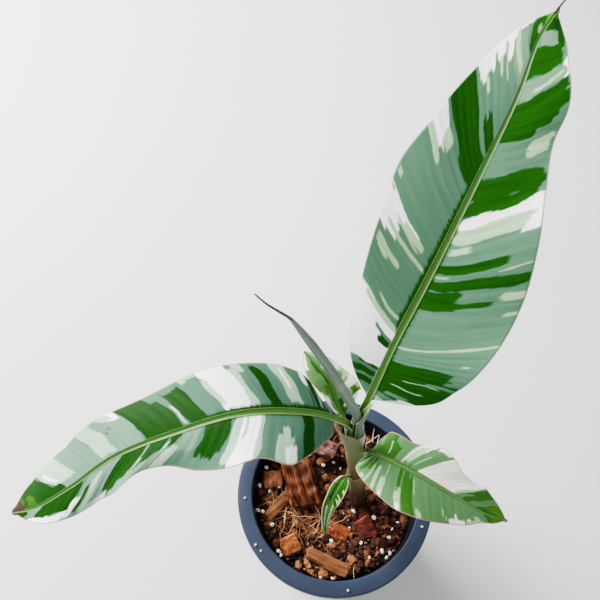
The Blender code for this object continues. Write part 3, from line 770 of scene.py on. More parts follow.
@dataclass(frozen=True)
class Stem:
    """The false stem that the sheaths wrap: its middle line and its layers' radii, in mm."""

    line: tuple = (
        (20, -5, 80), (18.6, -2, 112), (14.6, 7.5, 165), (11.5, 13, 210), (9.7, 16, 245), (8.6, 18, 275),
    )
    core: float = 1.5
    layer: float = 0.95
    spread: tuple = ((100, 1), (150, 1.08), (180, 1.25), (200, 1.5), (235, 1.9), (260, 2.1))

    def axis(self, height: np.ndarray) -> np.ndarray:
        """The stem's middle (x, y) in mm at heights in mm."""
        line = np.array(self.line, float)
        return smooth_values(line[:, 2], line[:, :2], np.atleast_1d(height))

    def swelling(self, height: np.ndarray) -> np.ndarray:
        """How many times wider than at the soil the layers are, at heights in mm."""
        return np.interp(height, *np.array(self.spread, float).T)

    def radius(self, layer: int, height: np.ndarray) -> np.ndarray:
        """Outer radius of a sheath in mm at heights in mm."""
        return (self.core + self.layer * layer) * self.swelling(height)

    def points(self, heights: np.ndarray, out: float = 0.0, side: float = 0.0) -> np.ndarray:
        """Points in mm up the stem, or up one side of it.

        Args:
            heights: the points' heights.
            out: distance from the stem's middle, at the soil.
            side: the side, as an angle in radians.

        Returns:
            The points, one a row.
        """
        heights = np.asarray(heights, float)
        reach = (out * self.swelling(heights))[:, None] * np.array([math.cos(side), math.sin(side)])
        return np.column_stack([self.axis(heights) + reach, heights])


STEM = Stem()

# What the rod's attribute holds on a dry thread: no channel, the tip's colours, all dry.
THREAD_MARK = (0.0, 1.0, 1.0)


@dataclass
class Half:
    """One half of a blade: its margin, how it lies, and its streaks.

    The margin is a list of shares of the blade's length with the half's width there. veins pairs
    shares of the margin with shares of the rib where their side veins start, and without it lead
    says how far the veins lean. A streak is a tone, where it starts and ends along the margin, and
    its inner and outer end between the rib and the margin, all in hundredths. The dark fringe along
    the rib is a width and the shares of the margin between which it runs.
    """

    margin: tuple
    fold: float
    sag: float
    wave: float
    phase: float
    lead: float = 1.4
    base: Tone = Tone.GREY
    streaks: tuple = ()
    veins: tuple = ()
    fringe: tuple = (0.0, 0.0, 1.0)
    torn: float = 8.0


@dataclass
class BananaLeaf:
    """One leaf: a sheath round the stem, a petiole that runs on as the midrib, and two blade halves.

    The petiole leaves the stem at the side that faces gives, in degrees. The sheath closes to that
    many degrees each way from it, up to top. wing is the rise of its rim: its side, width and
    height, how far it leans in x and y, and how flat its top is. foot is the height below which the
    sheath is older and darker, the dark partly painted shade, and over how many mm. rib is the
    petiole's and midrib's line past the sheath, and rib_radius its radius there, at the blade's start
    and at its tip.
    """

    SEAT = 0.62  # where a blade half starts, in radii of the midrib from its middle
    THICK = (0.55, 0.34)  # of the blade, at the rib and at the margin
    PLEAT = (7.0, 0.07)  # width and depth of the blade's pleats
    PLEATED = 14.0  # width of a half from which its pleats are at their full depth
    BESIDE = 0.6  # least width of a half outside its seat
    TAPER = 1.7  # the power by which the midrib thins
    BLUR = 0.35  # width of a streak's soft edge
    FADE = 2.5  # of a streak's ends, in hundredths of the way across
    NARROW = 4.0  # hundredths of the margin under which a streak is pointed
    STRAND = 1.9  # width of the strands in which a streak ends
    FRINGE_STRAND = 0.8  # and of those in which the fringe ends
    ROOTED = (24, 4)  # depths below the sheath's rim between which the petiole lies in its wall
    SUNK = 0.2  # depth of the petiole's line in that wall
    THREADLIKE = 0.3  # radius of the petiole where it starts there
    RINGS = (26, 90)  # of the rod, along the petiole and along the midrib
    BACK, CHANNEL, LIP = 21, 9, 118  # points round the rod's back and channel, degrees to a lip
    SHEATH_ROWS, SHEATH_COLUMNS, SHEATH_FOOT = 90, 96, 104.0

    name: str
    layer: int
    faces: float
    closes: float
    top: float
    wing: tuple
    rib: tuple
    petiole: float
    rib_radius: tuple
    left: Half
    right: Half
    waves: float
    rows: int
    columns: int
    blade_skin: LeafSkin
    sheath_skin: SheathSkin
    tuck: float = 0.8
    flare: float = 0.0
    foot: tuple = (165, 50)
    # Which wall of the midrib's channel gets painted light; the other wall gets painted shade.
    lit_side: int = 1
    thread: tuple = ()
    dry_tip: float = 0.0
    seed: int = 1
    line: Line = field(init=False)
    rib_start: float = field(init=False)
    blade_start: float = field(init=False)

    def __post_init__(self) -> None:
        """Lays the leaf's line, up in its sheath's wall and out along its rib."""
        deep, shallow = self.ROOTED
        wall = STEM.core + STEM.layer * self.layer - self.SUNK
        heights = np.linspace(self.top - deep, self.top - shallow, 3)
        inside = STEM.points(heights, wall, math.radians(self.faces))
        points = np.concatenate([inside, np.array(self.rib, float)])
        self.rib_start = walked(points)[len(inside)] * MM
        self.blade_start = self.rib_start + self.petiole * MM
        self.line = Line(points, self.blade_start)

    def margin(self, half: Half, length: float,
               step: np.ndarray) -> tuple[np.ndarray, np.ndarray, np.ndarray]:
        """Reads a margin.

        Args:
            half: the blade half.
            length: the blade's length.
            step: places along the margin, 0 to 1.

        Returns:
            The share of the blade's length, the half's width, and the share where the vein starts.
        """
        stations = np.array(half.margin, float)
        at = walked(stations * [length, MM])
        share, width = smooth_values(at / at[-1], stations, step).T
        if half.veins:
            table = np.array([(0, 0), *half.veins, (1, 1)], float)
            vein = smooth_values(table[:, 0], table[:, 1], step)
        else:
            # The greater of the two, with the change from one to the other eased.
            leaning, least = 1 - np.maximum(1 - share, 0) ** (1 / half.lead), 0.15 * step
            vein = 0.5 * (leaning + least + np.sqrt((leaning - least) ** 2 + 0.0004))
        return share, np.maximum(width, 0) * MM, np.clip(vein, 0.005, 0.995)

    def tones(self, half: Half, step: np.ndarray, across: np.ndarray, rib_mm: np.ndarray,
              along_mm: float, draw: np.random.Generator) -> np.ndarray:
        """Paints the streaks of a blade half as weights of its tones.

        Args:
            half: the blade half.
            step: places along the margin, one a row.
            across: share from rib to margin, one a column.
            rib_mm: distance from the rib of each vertex.
            along_mm: the margin's length.
            draw: the source of the strands' random lengths.

        Returns:
            Four weights for each vertex.
        """
        s, a = step[:, None] * 100, across[None, :] * 100
        run = step * along_mm
        found = np.zeros((len(step), len(across), 4)) + np.array(half.base.value)
        for tone, start, end, inner, outer in half.streaks:
            # A streak's sides waver, and its ends break into strands of uneven width.
            waver = 0.25 * np.sin(a * draw.uniform(0.05, 0.12) + draw.uniform(0, TURN))
            uneven = run + 1.1 * np.sin(run * 0.9 + draw.uniform(0, TURN)) + 1.2
            strands = (uneven / self.STRAND).astype(int)
            reach = min(half.torn, 0.2 * (outer - inner), 1.6 * (end - start) + 2)
            ragged = draw.uniform(-1, 1, (2, strands.max() + 2)) * reach
            low = inner + ragged[0][strands][:, None] if inner > 0 else -50.0
            high = outer + ragged[1][strands][:, None] if outer < 100 else 150.0
            size = (end - start) / 2 * np.ones_like(a)
            if end - start < self.NARROW:
                middle, reach = (inner + outer) / 2, 1.06 * max((outer - inner) / 2, 1)
                size = size * np.sqrt(np.clip(1 - (np.abs(a - middle) / reach) ** 7, 0, 1))
            beside = np.abs(s + waver - (start + end) / 2)
            inside = np.clip((size - beside) * along_mm / (100 * self.BLUR) + 0.5, 0, 1)
            inside = inside * np.clip((a - low) / self.FADE + 0.5, 0, 1)
            inside = inside * np.clip((high - a) / self.FADE + 0.5, 0, 1)
            found = found * (1 - inside[..., None]) + inside[..., None] * np.array(tone.value)
        size, start, end = half.fringe
        if size > 0:
            strands = (run / self.FRINGE_STRAND).astype(int)
            reach = size * (0.72 + 0.28 * draw.random(strands.max() + 1) ** 1.5)[strands]
            window = eased((step - start) / 0.06) * eased((end - step) / 0.25)
            inside = np.clip((reach * window)[:, None] - rib_mm + 0.2, 0, 1)
            found = found * (1 - inside[..., None])
        return found.reshape(-1, 4)

    def half(self, k: int, draw: np.random.Generator) -> tuple[np.ndarray, dict[str, np.ndarray]]:
        """One blade half as a thin closed slab, in rows that run along the side veins.

        Args:
            k: 0 for the left half and 1 for the right.
            draw: the source of small irregularities.

        Returns:
            The points, upper side first, and the values of each attribute.
        """
        half, side = (self.left, self.right)[k], (-1, 1)[k]
        _, base, tip = self.rib_radius
        length = self.line.length - self.blade_start
        step, across = np.linspace(0, 1, self.rows), np.linspace(0, 1, self.columns + 1)
        share, width, vein = self.margin(half, length, step)
        seat = self.SEAT * (base + (tip - base) * vein**self.TAPER) * MM
        width = np.maximum(width, seat + self.BESIDE * MM)
        run = walked(np.stack([share * length, width], axis=1))
        reach = seat[:, None] * (1 - across) + width[:, None] * across

        calm = np.sin(np.pi * np.clip(share, 0, 1)) ** 0.5
        waves = half.wave * calm * np.sin(TURN * (self.waves * share + half.phase))
        spacing, depth = self.PLEAT
        pleats = np.sin(TURN * run / (spacing * MM) + 2.5 * np.sin(run * 60 + k))
        fade = np.clip(width / (self.PLEATED * MM), 0, 1) * np.sin(np.pi * step) ** 0.4
        lift = (
            reach * math.tan(math.radians(half.fold))
            + (waves[:, None] - half.sag) * MM * across**2
            + depth * MM * (pleats * fade)[:, None] * (4 * across * (1.08 - across)) ** 0.6
        )

        where = self.blade_start + length * (vein[:, None] + (share - vein)[:, None] * across**1.3)
        middle, right, up = self.line.read(where)
        surface = middle + side * reach[..., None] * right + lift[..., None] * up
        tilt = math.radians(half.fold)
        normal = math.cos(tilt) * up - side * math.sin(tilt) * right
        out = (self.THICK[0] + (self.THICK[1] - self.THICK[0]) * across)[None, :, None] * MM / 2 * normal

        row = np.linalg.norm(surface[:, -1] - surface[:, 0], axis=1)[:, None] / MM
        rib_mm, margin_mm = row * across, row * (1 - across)
        tones = self.tones(half, step, across, rib_mm, run[-1] / MM, draw)
        veins = rows_of(run[:, None] + 0.7 * k, rib_mm * MM, margin_mm)
        dry = 0.0
        if self.dry_tip:
            left = (1 - step)[:, None] * run[-1] / MM
            dry = np.clip((self.dry_tip + draw.uniform(-1, 1, (1, len(across))) - left) / 1.5, 0, 1)
        return np.concatenate([surface + out, surface - out]).reshape(-1, 3), {
            "tones": np.concatenate([tones, tones]),
            "veins": np.concatenate([veins, veins]),
            "skin": np.concatenate([rows_of(rib_mm, upper, dry) for upper in (1, 0)]),
        }

    def blade(self) -> bpy.types.Object:
        """The two halves of the blade.

        Returns:
            The halves as one piece.
        """
        draw = np.random.default_rng(self.seed)
        halves = [self.half(k, draw) for k in (0, 1)]
        points = [points for points, _ in halves]
        marks = {key: np.concatenate([marks[key] for _, marks in halves]) for key in halves[0][1]}
        faces = slab_faces(self.rows, self.columns + 1)
        return outwards(new_mesh(f"{self.name}_blade", np.concatenate(points),
                                 faces + shifted(faces, len(points[0])), self.blade_skin.material(), **marks))

    def rod(self, skin: RibSkin) -> bpy.types.Object:
        """Petiole and midrib as one channelled rod, with the dry thread at the tip if it has one.

        Args:
            skin: the rod's finish.

        Returns:
            The rod as one piece.
        """
        length = self.line.length - self.blade_start
        where = np.concatenate([
            np.linspace(0, self.blade_start, self.RINGS[0])[:-1],
            self.blade_start + length * np.linspace(0, 1, self.RINGS[1]),
        ])
        petiole, base, tip = self.rib_radius
        out = np.clip((where - self.blade_start) / length, 0, 1)
        near = np.clip((where - self.rib_start) / (self.blade_start - self.rib_start), 0, 1)
        rising = eased(where / self.rib_start)
        rib = petiole + (base - petiole) * near + (tip - base) * out**self.TAPER
        radii = (self.THREADLIKE * (1 - rising) + rib * rising)[:, None] * MM

        back = np.linspace(-self.LIP, self.LIP, self.BACK)
        channel = np.linspace(-1, 1, self.CHANNEL)
        around = np.radians(np.concatenate([back, -self.LIP * channel]))
        # The rod is round at the back, and its channel falls to about half the radius.
        depth = np.concatenate([np.ones(self.BACK), 0.48 + 0.52 * np.abs(channel) ** 2.5])
        # The zone is 0 on the back, rises over the side to the lip, and is 1 in the channel.
        side, lip_zone = 70, 0.45
        rise = np.clip((np.abs(back) - side) / (self.LIP - side), 0, 1)
        zone = np.concatenate([rise * lip_zone, np.ones(self.CHANNEL)])
        zone[[self.BACK, -1]] = lip_zone

        points = self.line.rings(where, radii * depth, around - TURN / 4)
        dry = np.clip((out - 0.985) * 200, 0, 1)[:, None] if self.thread else 0.0
        marks = rows_of(zone, out[:, None], dry)
        # The third part is signed by the side of the channel that gets painted light.
        veins = rows_of(radii * around, where[:, None], self.lit_side * around * MM)
        faces = ring_faces(len(where), len(around))
        if self.thread:
            more, loops = dry_thread(self.thread, 0.7, 24)
            faces += shifted(loops, len(points))
            points, veins = np.concatenate([points, more]), np.concatenate([veins, more])
            marks = np.concatenate([marks, [THREAD_MARK] * len(more)])
        obj = new_mesh(f"{self.name}_rib", points, faces, skin.material(), rod=marks, veins=veins)
        obj.data.set_sharp_from_angle(angle=math.radians(60))
        return outwards(obj)

    def sheath(self) -> bpy.types.Object:
        """The sheath as a thin rolled slab with a slit opposite the petiole and a rim that rises in a wing.

        Returns:
            The sheath as one piece.
        """
        side, width, height, lean_x, lean_y, flat = self.wing
        turn = np.linspace(-self.closes, self.closes, self.SHEATH_COLUMNS + 1)
        angles = self.faces + turn
        raised = angle_bump(angles, side, width, flat)[None, :]
        rim = self.top + (height - self.top) * raised
        share = np.linspace(0, 1, self.SHEATH_ROWS)[:, None]
        plain, below = 0.7, 12  # the share of the rows that lie level, and how far below the rim
        low = np.clip(share / plain, 0, 1) * (self.top - below - self.SHEATH_FOOT) + self.SHEATH_FOOT
        z = low + (rim - low) * np.clip((share - plain) / (1 - plain), 0, 1)

        middle = STEM.axis(z.ravel()).reshape(*z.shape, 2)
        above = np.clip((z - self.top + self.flare) / (height - self.top + self.flare), 0, 1)
        middle = middle + (above**1.5 * raised**0.5)[..., None] * np.array([lean_x, lean_y])
        outward = np.stack([np.cos(np.radians(angles)), np.sin(np.radians(angles))], axis=-1)[None]
        # The wall thins to half in its top fifth, and the rim tucks in from 10 mm below its least height.
        thick = 0.6 - 0.3 * eased((share - 0.8) / 0.2)
        outer = STEM.radius(self.layer, z) - self.tuck * eased((z - self.top + 10) / 10)
        sheets = []
        for radius in (outer, outer - thick):
            sheet = np.concatenate([middle + outward * radius[..., None], z[..., None]], axis=-1)
            sheets.append(sheet.reshape(-1, 3) * MM)

        # The dry edge follows the rim and the slit, and ends low on the stem.
        slit = (self.closes - np.abs(turn))[None, :] * np.radians(1) * STEM.radius(self.layer, z)
        edge = np.minimum(rim - z, slit + 2.0 * eased((150 - z) / 30))
        warm = angle_bump(angles, self.faces, 50)[None, :] * eased((z - self.top + 26) / 24)
        # Darker towards the foot: older sheath, and painted shade low on the stem.
        aged_and_shaded = eased((self.foot[0] - z) / self.foot[1])
        skin = rows_of(edge, warm, aged_and_shaded)
        veins = rows_of(np.radians(turn)[None, :] * 6 * MM, z * MM, self.layer * 0.1)
        return outwards(new_mesh(
            f"{self.name}_sheath", np.concatenate(sheets),
            slab_faces(self.SHEATH_ROWS, self.SHEATH_COLUMNS + 1), self.sheath_skin.material(),
            skin=np.concatenate([skin, skin]), veins=np.concatenate([veins, veins]),
        ))

    def build(self, rib_skin: RibSkin) -> None:
        """Builds the leaf's pieces in place of its node."""
        for piece in (self.blade(), self.rod(rib_skin), self.sheath()):
            rides(piece, "leaf", self.name)


D, W, P, G, F, M = Tone

BLUE_SKIN = LeafSkin("banana leaf, blue-grey", grey="#446854", teal="#355846", pale="#94b296", dark="#093700",
                     deep="#052600", fresh="#1f4a02")
MID_SKIN = LeafSkin("banana leaf, grey-green", margin="#93a588", flank_mm=0.5)
SMALL_SKIN = LeafSkin("banana leaf, fresh", grey="#527d4f", teal="#43703f", dark="#2c5f18", deep="#1e4d0c",
                      pale="#9bbb8d", white="#f7f9ea", fresh="#3f6e12", flank_mm=0.5)

TALL = BananaLeaf(
    name="leaf_tall", layer=1, faces=58, closes=171, top=250, wing=(-14, 72, 280, 5, 0, 2), flare=12,
    rib=((12, 19.5, 256), (17.3, 27, 276), (28, 44.5, 305), (41, 62.5, 334), (66, 102, 382),
         (88, 141.5, 409), (105, 180, 418), (117, 198, 420)),
    petiole=14, rib_radius=(2.9, 2.4, 0.9), waves=3.2, rows=400, columns=40,
    left=Half(
        margin=((0, 0), (0.03, 8), (0.08, 18), (0.14, 26), (0.23, 32), (0.34, 36.5), (0.45, 40),
                (0.55, 42), (0.64, 36), (0.72, 31), (0.84, 21), (0.92, 11), (1, 0)),
        fold=12, sag=2, wave=1.6, phase=0.1,
        veins=((0.098, 0.078), (0.299, 0.203), (0.401, 0.299), (0.494, 0.381), (0.702, 0.554),
               (0.778, 0.610), (0.908, 0.786)),
        streaks=(
            (D, 6, 8, 10, 100), (D, 9, 11, 5, 100), (D, 12, 13, 0, 70), (W, 13, 30, 0, 100),
            (D, 22, 25.5, 0, 30), (G, 25, 26.4, 0, 45), (P, 28.6, 30.2, 0, 85), (P, 32, 32.8, 4, 55),
            (P, 39, 41.6, 64, 94), (P, 40.2, 41.6, 44, 70), (W, 43, 51, 82, 100), (W, 44, 50, 68, 90),
            (P, 45.2, 46.2, 5, 85), (W, 48.2, 50.6, 30, 100), (P, 48.2, 50, 20, 60), (P, 47.6, 48.2, 25, 75),
            (P, 53, 54.2, 88, 96), (P, 50, 51, 90, 100), (W, 63.5, 68.8, 66, 100), (P, 62.8, 64.4, 62, 100),
            (P, 66, 68.8, 58, 76), (D, 70, 78, 0, 100), (D, 69.4, 71, 0, 46), (D, 79.2, 82.4, 0, 42),
            (W, 79, 94.5, 93, 100), (W, 79, 84, 80, 100), (P, 81, 82, 62, 80), (W, 84.5, 87, 80, 100),
            (P, 85.4, 86.2, 62, 84), (W, 87.6, 89.4, 66, 100), (P, 87.4, 87.9, 44, 90),
            (W, 89.5, 91, 86, 100), (M, 89.6, 93.5, 0, 92), (P, 90.4, 91.6, 20, 96),
            (D, 94, 97.5, 0, 92), (M, 96, 96.8, 10, 60), (F, 97.5, 100, 0, 100),
        ),
        fringe=(5.2, 0.27, 0.92),
    ),
    right=Half(
        margin=((0, 0), (0.02, 10), (0.04, 20), (0.06, 29), (0.09, 38), (0.15, 45), (0.25, 51.5),
                (0.4, 51), (0.5, 44.5), (0.6, 35), (0.7, 27), (0.76, 27), (0.85, 20), (0.92, 14), (1, 0)),
        fold=9, sag=3, wave=2.2, phase=0.55,
        veins=((0.266, 0.128), (0.354, 0.178), (0.411, 0.264), (0.487, 0.340), (0.628, 0.500),
               (0.671, 0.580), (0.735, 0.650), (0.83, 0.735), (0.865, 0.80), (0.905, 0.865)),
        streaks=(
            (W, 2, 5, 30, 100), (P, 4, 6, 10, 50), (D, 9, 22, 0, 100), (D, 21, 27, 0, 82),
            (P, 15.85, 16.15, 18, 72), (G, 10, 12, 20, 70), (W, 4, 10.5, 66, 100), (P, 19.65, 19.9, 30, 80),
            (G, 20, 21, 60, 100), (P, 29.5, 30, 78, 88), (P, 34.3, 34.9, 2, 100), (P, 40.6, 41.2, 86, 100),
            (D, 42, 44.0, 0, 44), (D, 42.8, 44, 0, 76), (D, 44, 46.8, 0, 40), (P, 44, 45.6, 78, 100),
            (D, 47, 49.4, 0, 100), (P, 49.6, 50, 0, 20), (P, 50.2, 50.6, 70, 98), (D, 51, 53.2, 0, 76),
            (P, 55.5, 57, 5, 33), (W, 56.5, 62.5, 80, 100), (W, 60.2, 62.6, 3, 100), (P, 57.6, 60.6, 4, 94),
            (W, 57, 58.2, 84, 100), (D, 62.2, 64.4, 0, 92), (D, 64, 67.2, 0, 98), (P, 69.5, 73, 60, 97),
            (D, 73.5, 76, 0, 58), (D, 75.4, 79, 0, 84), (D, 78, 83.2, 0, 98), (W, 83, 87, 90, 100),
            (M, 83.4, 86, 0, 94), (P, 84, 84.6, 30, 90), (D, 86, 91.2, 0, 90), (M, 91.2, 94.5, 4, 80),
            (D, 91, 97, 72, 100), (D, 94.5, 98, 0, 100), (F, 97.5, 100, 0, 100),
        ),
        fringe=(3.6, 0.22, 0.74),
    ),
    blade_skin=MID_SKIN, sheath_skin=SheathSkin("tall leaf sheath", bloom="#6c8569", shade="#5a7259",
                                                 edge="#9fb093", dry="#86977b", warm="#76893f"), tuck=1.2,
    thread=((114.5, 194.5, 419.8), (118, 199.5, 420.3), (122, 204.5, 421), (128, 210, 424)), seed=3,
)

LONG = BananaLeaf(
    name="leaf_long", layer=2, faces=190, closes=171, top=234, wing=(190, 50, 240, 0, 0, 2),
    rib=((3.7, 12.7, 254), (-10, 12, 272), (-28, 8.5, 290), (-61, 2, 305), (-99, -7, 298),
         (-136, -15, 279), (-168.5, -27, 253), (-198, -35, 231), (-214, -35, 221)),
    petiole=16, rib_radius=(2.7, 2.2, 0.8), waves=3.1, rows=400, columns=32,
    left=Half(
        margin=((0, 0), (0, 7), (0.06, 18), (0.12, 26), (0.18, 32), (0.25, 28), (0.32, 29), (0.4, 24),
                (0.47, 16), (0.52, 15), (0.61, 20), (0.72, 16), (0.8, 16), (0.88, 12), (0.95, 5), (1, 0)),
        fold=5, sag=3, wave=3.5, phase=0.45,
        veins=((0.15, 0.097), (0.2, 0.14), (0.285, 0.215), (0.38, 0.285), (0.45, 0.355), (0.58, 0.46),
               (0.75, 0.60), (0.82, 0.70), (0.9, 0.83)),
        streaks=(
            (D, 14, 18, 0, 100), (P, 21, 25.5, 42, 100), (P, 22.4, 24.4, 26, 60), (W, 20, 23.2, 64, 100),
            (P, 29.3, 32, 0, 100), (W, 30.6, 36.4, 0, 100), (P, 36, 38.2, 0, 92), (P, 34.4, 35.2, 0, 52),
            (D, 38.9, 45, 0, 72), (D, 40, 42.4, 0, 82), (M, 46, 51.5, 0, 60), (P, 50.5, 54, 42, 100),
            (D, 51.5, 55.4, 0, 22), (D, 52.5, 54.4, 0, 38), (P, 54.4, 55.4, 20, 72), (M, 54, 64, 44, 100),
            (D, 56, 63, 0, 42), (D, 57.5, 62, 0, 60), (P, 62.8, 64, 35, 75), (M, 63, 82, 0, 100),
            (D, 64, 73, 0, 66), (D, 67, 73, 0, 90), (P, 70, 79, 86, 100), (P, 77, 79.4, 20, 92),
            (D, 80, 81.2, 30, 92), (W, 81.4, 84, 50, 96),
            (D, 83, 94, 0, 80), (W, 84, 94, 78, 100), (M, 93, 96, 0, 84), (D, 95.6, 100, 0, 100),
            (F, 97, 100, 0, 100),
        ),
        fringe=(1.6, 0.1, 0.9),
    ),
    right=Half(
        margin=((0, 0), (0.04, 12), (0.08, 25), (0.14, 30), (0.3, 31), (0.45, 30), (0.6, 27.5), (0.7, 27),
                (0.8, 26), (0.9, 22), (0.97, 14), (1, 4)),
        fold=5, sag=3, wave=2, phase=0.2,
        veins=((0.1, 0.05), (0.2, 0.12), (0.279, 0.195), (0.37, 0.29), (0.466, 0.372), (0.51, 0.41),
               (0.592, 0.498), (0.654, 0.584), (0.835, 0.746), (0.94, 0.85)),
        streaks=(
            (W, 3, 8, 78, 100), (D, 4.5, 5.6, 0, 80), (D, 7, 8.2, 0, 85), (P, 9, 9.6, 20, 80),
            (D, 10.5, 12.4, 0, 96), (D, 13.6, 14.2, 0, 50), (W, 12.8, 14.4, 66, 100),
            (P, 18.4, 22.6, 16, 100), (W, 20, 20.8, 45, 90), (D, 25.5, 28.2, 0, 90),
            (P, 29.4, 31.4, 80, 100), (P, 31, 33, 4, 90),
            (W, 32.4, 38.4, 0, 100), (P, 37.6, 39, 20, 80), (P, 39, 42, 92, 100), (P, 41.4, 43, 86, 100),
            (D, 43.8, 49, 0, 86), (P, 49.2, 49.9, 4, 56), (D, 50.4, 54, 0, 80), (D, 53, 60, 0, 100),
            (M, 60, 90, 0, 100), (W, 60, 62.4, 76, 100), (P, 61.4, 64, 84, 100), (P, 66, 70.6, 6, 100),
            (D, 65, 65.4, 52, 57), (D, 63.6, 64, 60, 66), (P, 81.5, 90, 22, 100),
            (W, 87.6, 89, 30, 80), (D, 88, 91, 0, 28), (D, 90.6, 100, 0, 100), (F, 95.6, 97, 10, 70),
            (F, 97.6, 100, 0, 100),
        ),
        fringe=(4.2, 0.02, 0.62), torn=4.0,
    ),
    blade_skin=BLUE_SKIN, sheath_skin=SheathSkin("long leaf sheath", bloom="#c3c9b4", shade="#a9b398",
                                                  edge="#b98d79", dry="#8f614a", warm="#8a9136"),
    tuck=0.9, lit_side=-1, dry_tip=7.0, seed=5,
)

REAR = BananaLeaf(
    name="leaf_rear", layer=3, faces=145, closes=171, top=220, wing=(145, 60, 226, 0, 0, 2),
    rib=((4, 18, 233), (0.5, 23, 244), (-4.8, 29.5, 257), (-8, 36, 268), (-15, 42.5, 275), (-25, 52, 281)),
    petiole=12, rib_radius=(1.9, 1.5, 0.6), waves=1.6, rows=130, columns=22,
    left=Half(
        margin=((0, 0), (0.08, 3.5), (0.2, 5), (0.34, 6.5), (0.55, 10.5), (0.72, 11), (0.84, 8.5),
                (0.94, 4), (1, 0)),
        fold=14, sag=1, wave=1, phase=0.2, lead=1.35, base=G,
        streaks=((D, 0, 100, 0, 16), (W, 3, 34, 66, 100), (P, 12, 16, 30, 66), (W, 30, 40, 44, 100),
                 (F, 46, 60, 10, 50), (W, 40, 50, 80, 100),
                 (G, 66, 90, 30, 100), (W, 80, 100, 72, 100), (D, 76, 90, 0, 30)),
        fringe=(0.9, 0.02, 0.95),
    ),
    right=Half(
        margin=((0, 0), (0.03, 6), (0.1, 13), (0.2, 16.5), (0.42, 16.5), (0.55, 12), (0.76, 9.5),
                (0.92, 4), (1, 0)),
        fold=14, sag=1, wave=1.5, phase=0.6, lead=1.35, base=P,
        streaks=((W, 0, 30, 60, 100), (D, 4, 40, 0, 46), (F, 10, 34, 20, 58), (W, 24, 30, 18, 44),
                 (F, 32, 50, 62, 92), (D, 37, 44, 66, 90), (W, 50, 56, 50, 100), (G, 56, 66, 50, 84),
                 (P, 58, 60, 50, 90), (W, 64, 84, 80, 100), (G, 40, 80, 0, 30), (G, 84, 100, 0, 60)),
        fringe=(0.9, 0.05, 0.95),
    ),
    blade_skin=replace(SMALL_SKIN, name="banana leaf, pale green", grey="#628c50", teal="#567f44"),
    sheath_skin=SheathSkin("rear leaf sheath", bloom="#a5b08e", warm="#74853a"),
    seed=7,
)

SHORT = BananaLeaf(
    name="leaf_short", layer=4, faces=-38, closes=154, top=203, wing=(226, 82, 260, -5, -3, 4),
    rib=((18.3, 7.2, 216), (24, 2, 226), (43.6, -9.6, 231), (73.6, -24.5, 222), (95, -33.5, 211),
         (112.3, -35.7, 200)),
    petiole=4, rib_radius=(2.1, 1.7, 0.6), waves=2.3, rows=240, columns=30,
    left=Half(
        margin=((0, 0), (0, 6), (-0.01, 11), (0.04, 17), (0.11, 18), (0.25, 18), (0.34, 22), (0.43, 24),
                (0.5, 21), (0.58, 16), (0.67, 15), (0.79, 17), (0.87, 13), (0.93, 8), (1, 0)),
        fold=8, sag=2, wave=2.5, phase=0.0,
        veins=((0.15, 0.09), (0.277, 0.185), (0.368, 0.232), (0.526, 0.32), (0.57, 0.36), (0.8, 0.583),
               (0.887, 0.695), (0.95, 0.81)),
        streaks=(
            (D, 0, 24, 0, 100), (G, 3, 8, 20, 100), (P, 12.8, 13.2, 40, 86), (G, 15.4, 16, 40, 85),
            (P, 21.4, 22.2, 16, 66),
            (D, 23, 28, 0, 66), (P, 34.6, 37.5, 4, 100), (P, 37, 43, 20, 84), (W, 37, 52, 84, 100),
            (W, 36, 36.8, 20, 90), (W, 43, 44, 60, 95), (G, 44.5, 53.5, 0, 90), (D, 45, 47, 0, 12),
            (P, 48, 48.8, 15, 60), (W, 54, 80, 0, 100), (P, 79, 81, 0, 60), (G, 80.5, 84, 0, 50),
            (D, 81, 87.5, 40, 100), (D, 84, 87.5, 0, 60), (G, 88, 91.5, 0, 92), (D, 91.5, 100, 0, 100),
            (F, 92, 100, 40, 100),
        ),
        fringe=(1.4, 0.2, 0.95),
    ),
    right=Half(
        margin=((0, 0), (-0.02, 5), (-0.02, 9), (0.01, 14), (0.07, 19), (0.12, 22), (0.2, 25),
                (0.32, 28), (0.4, 27), (0.5, 23.5), (0.6, 19), (0.72, 13), (0.8, 7), (0.9, 4), (1, 0)),
        fold=8, sag=2, wave=1.5, phase=0.3,
        veins=((0.1, 0.055), (0.2, 0.112), (0.296, 0.173), (0.401, 0.255), (0.47, 0.325), (0.501, 0.36),
               (0.654, 0.53), (0.8, 0.70)),
        streaks=(
            (P, 6.6, 7.6, 30, 100), (D, 9, 11, 10, 80), (P, 11.6, 12.3, 10, 90), (D, 14, 16.6, 20, 84),
            (P, 17, 19, 84, 100), (D, 17.4, 19.4, 8, 60), (P, 20, 21, 30, 100), (D, 21.4, 22.6, 15, 50),
            (P, 23.4, 25.4, 24, 100), (P, 27.4, 30.6, 46, 100), (W, 28, 29.4, 84, 100),
            (P, 29.8, 30.5, 8, 60), (D, 38, 40.3, 0, 50), (W, 38, 40.4, 82, 100),
            (P, 39, 40.6, 50, 85), (P, 41.4, 42, 22, 76),
            (P, 37, 39, 60, 80), (D, 42, 44, 0, 100), (D, 41, 46.4, 12, 100), (P, 46.8, 47.3, 12, 50),
            (P, 47.2, 49.8, 80, 100), (P, 61.8, 62.6, 60, 78), (P, 63.4, 64.2, 78, 92),
            (W, 65.5, 74, 82, 100), (W, 69.5, 70.6, 66, 90), (W, 76, 78, 74, 100),
            (P, 75, 84, 86, 100), (P, 80, 82.6, 60, 96),
            (D, 87, 100, 0, 100), (F, 90, 100, 0, 100),
        ),
        fringe=(1.6, 0.15, 0.9),
    ),
    blade_skin=SMALL_SKIN, sheath_skin=SheathSkin("short leaf sheath", bloom="#56683f", shade="#414e29",
                                                  foot="#4d4420", edge="#7d5444", edge_mm=2.2,
                                                  warm="#66701f"),
    tuck=0.6, foot=(222, 36), lit_side=-1, dry_tip=2.0, seed=11,
)

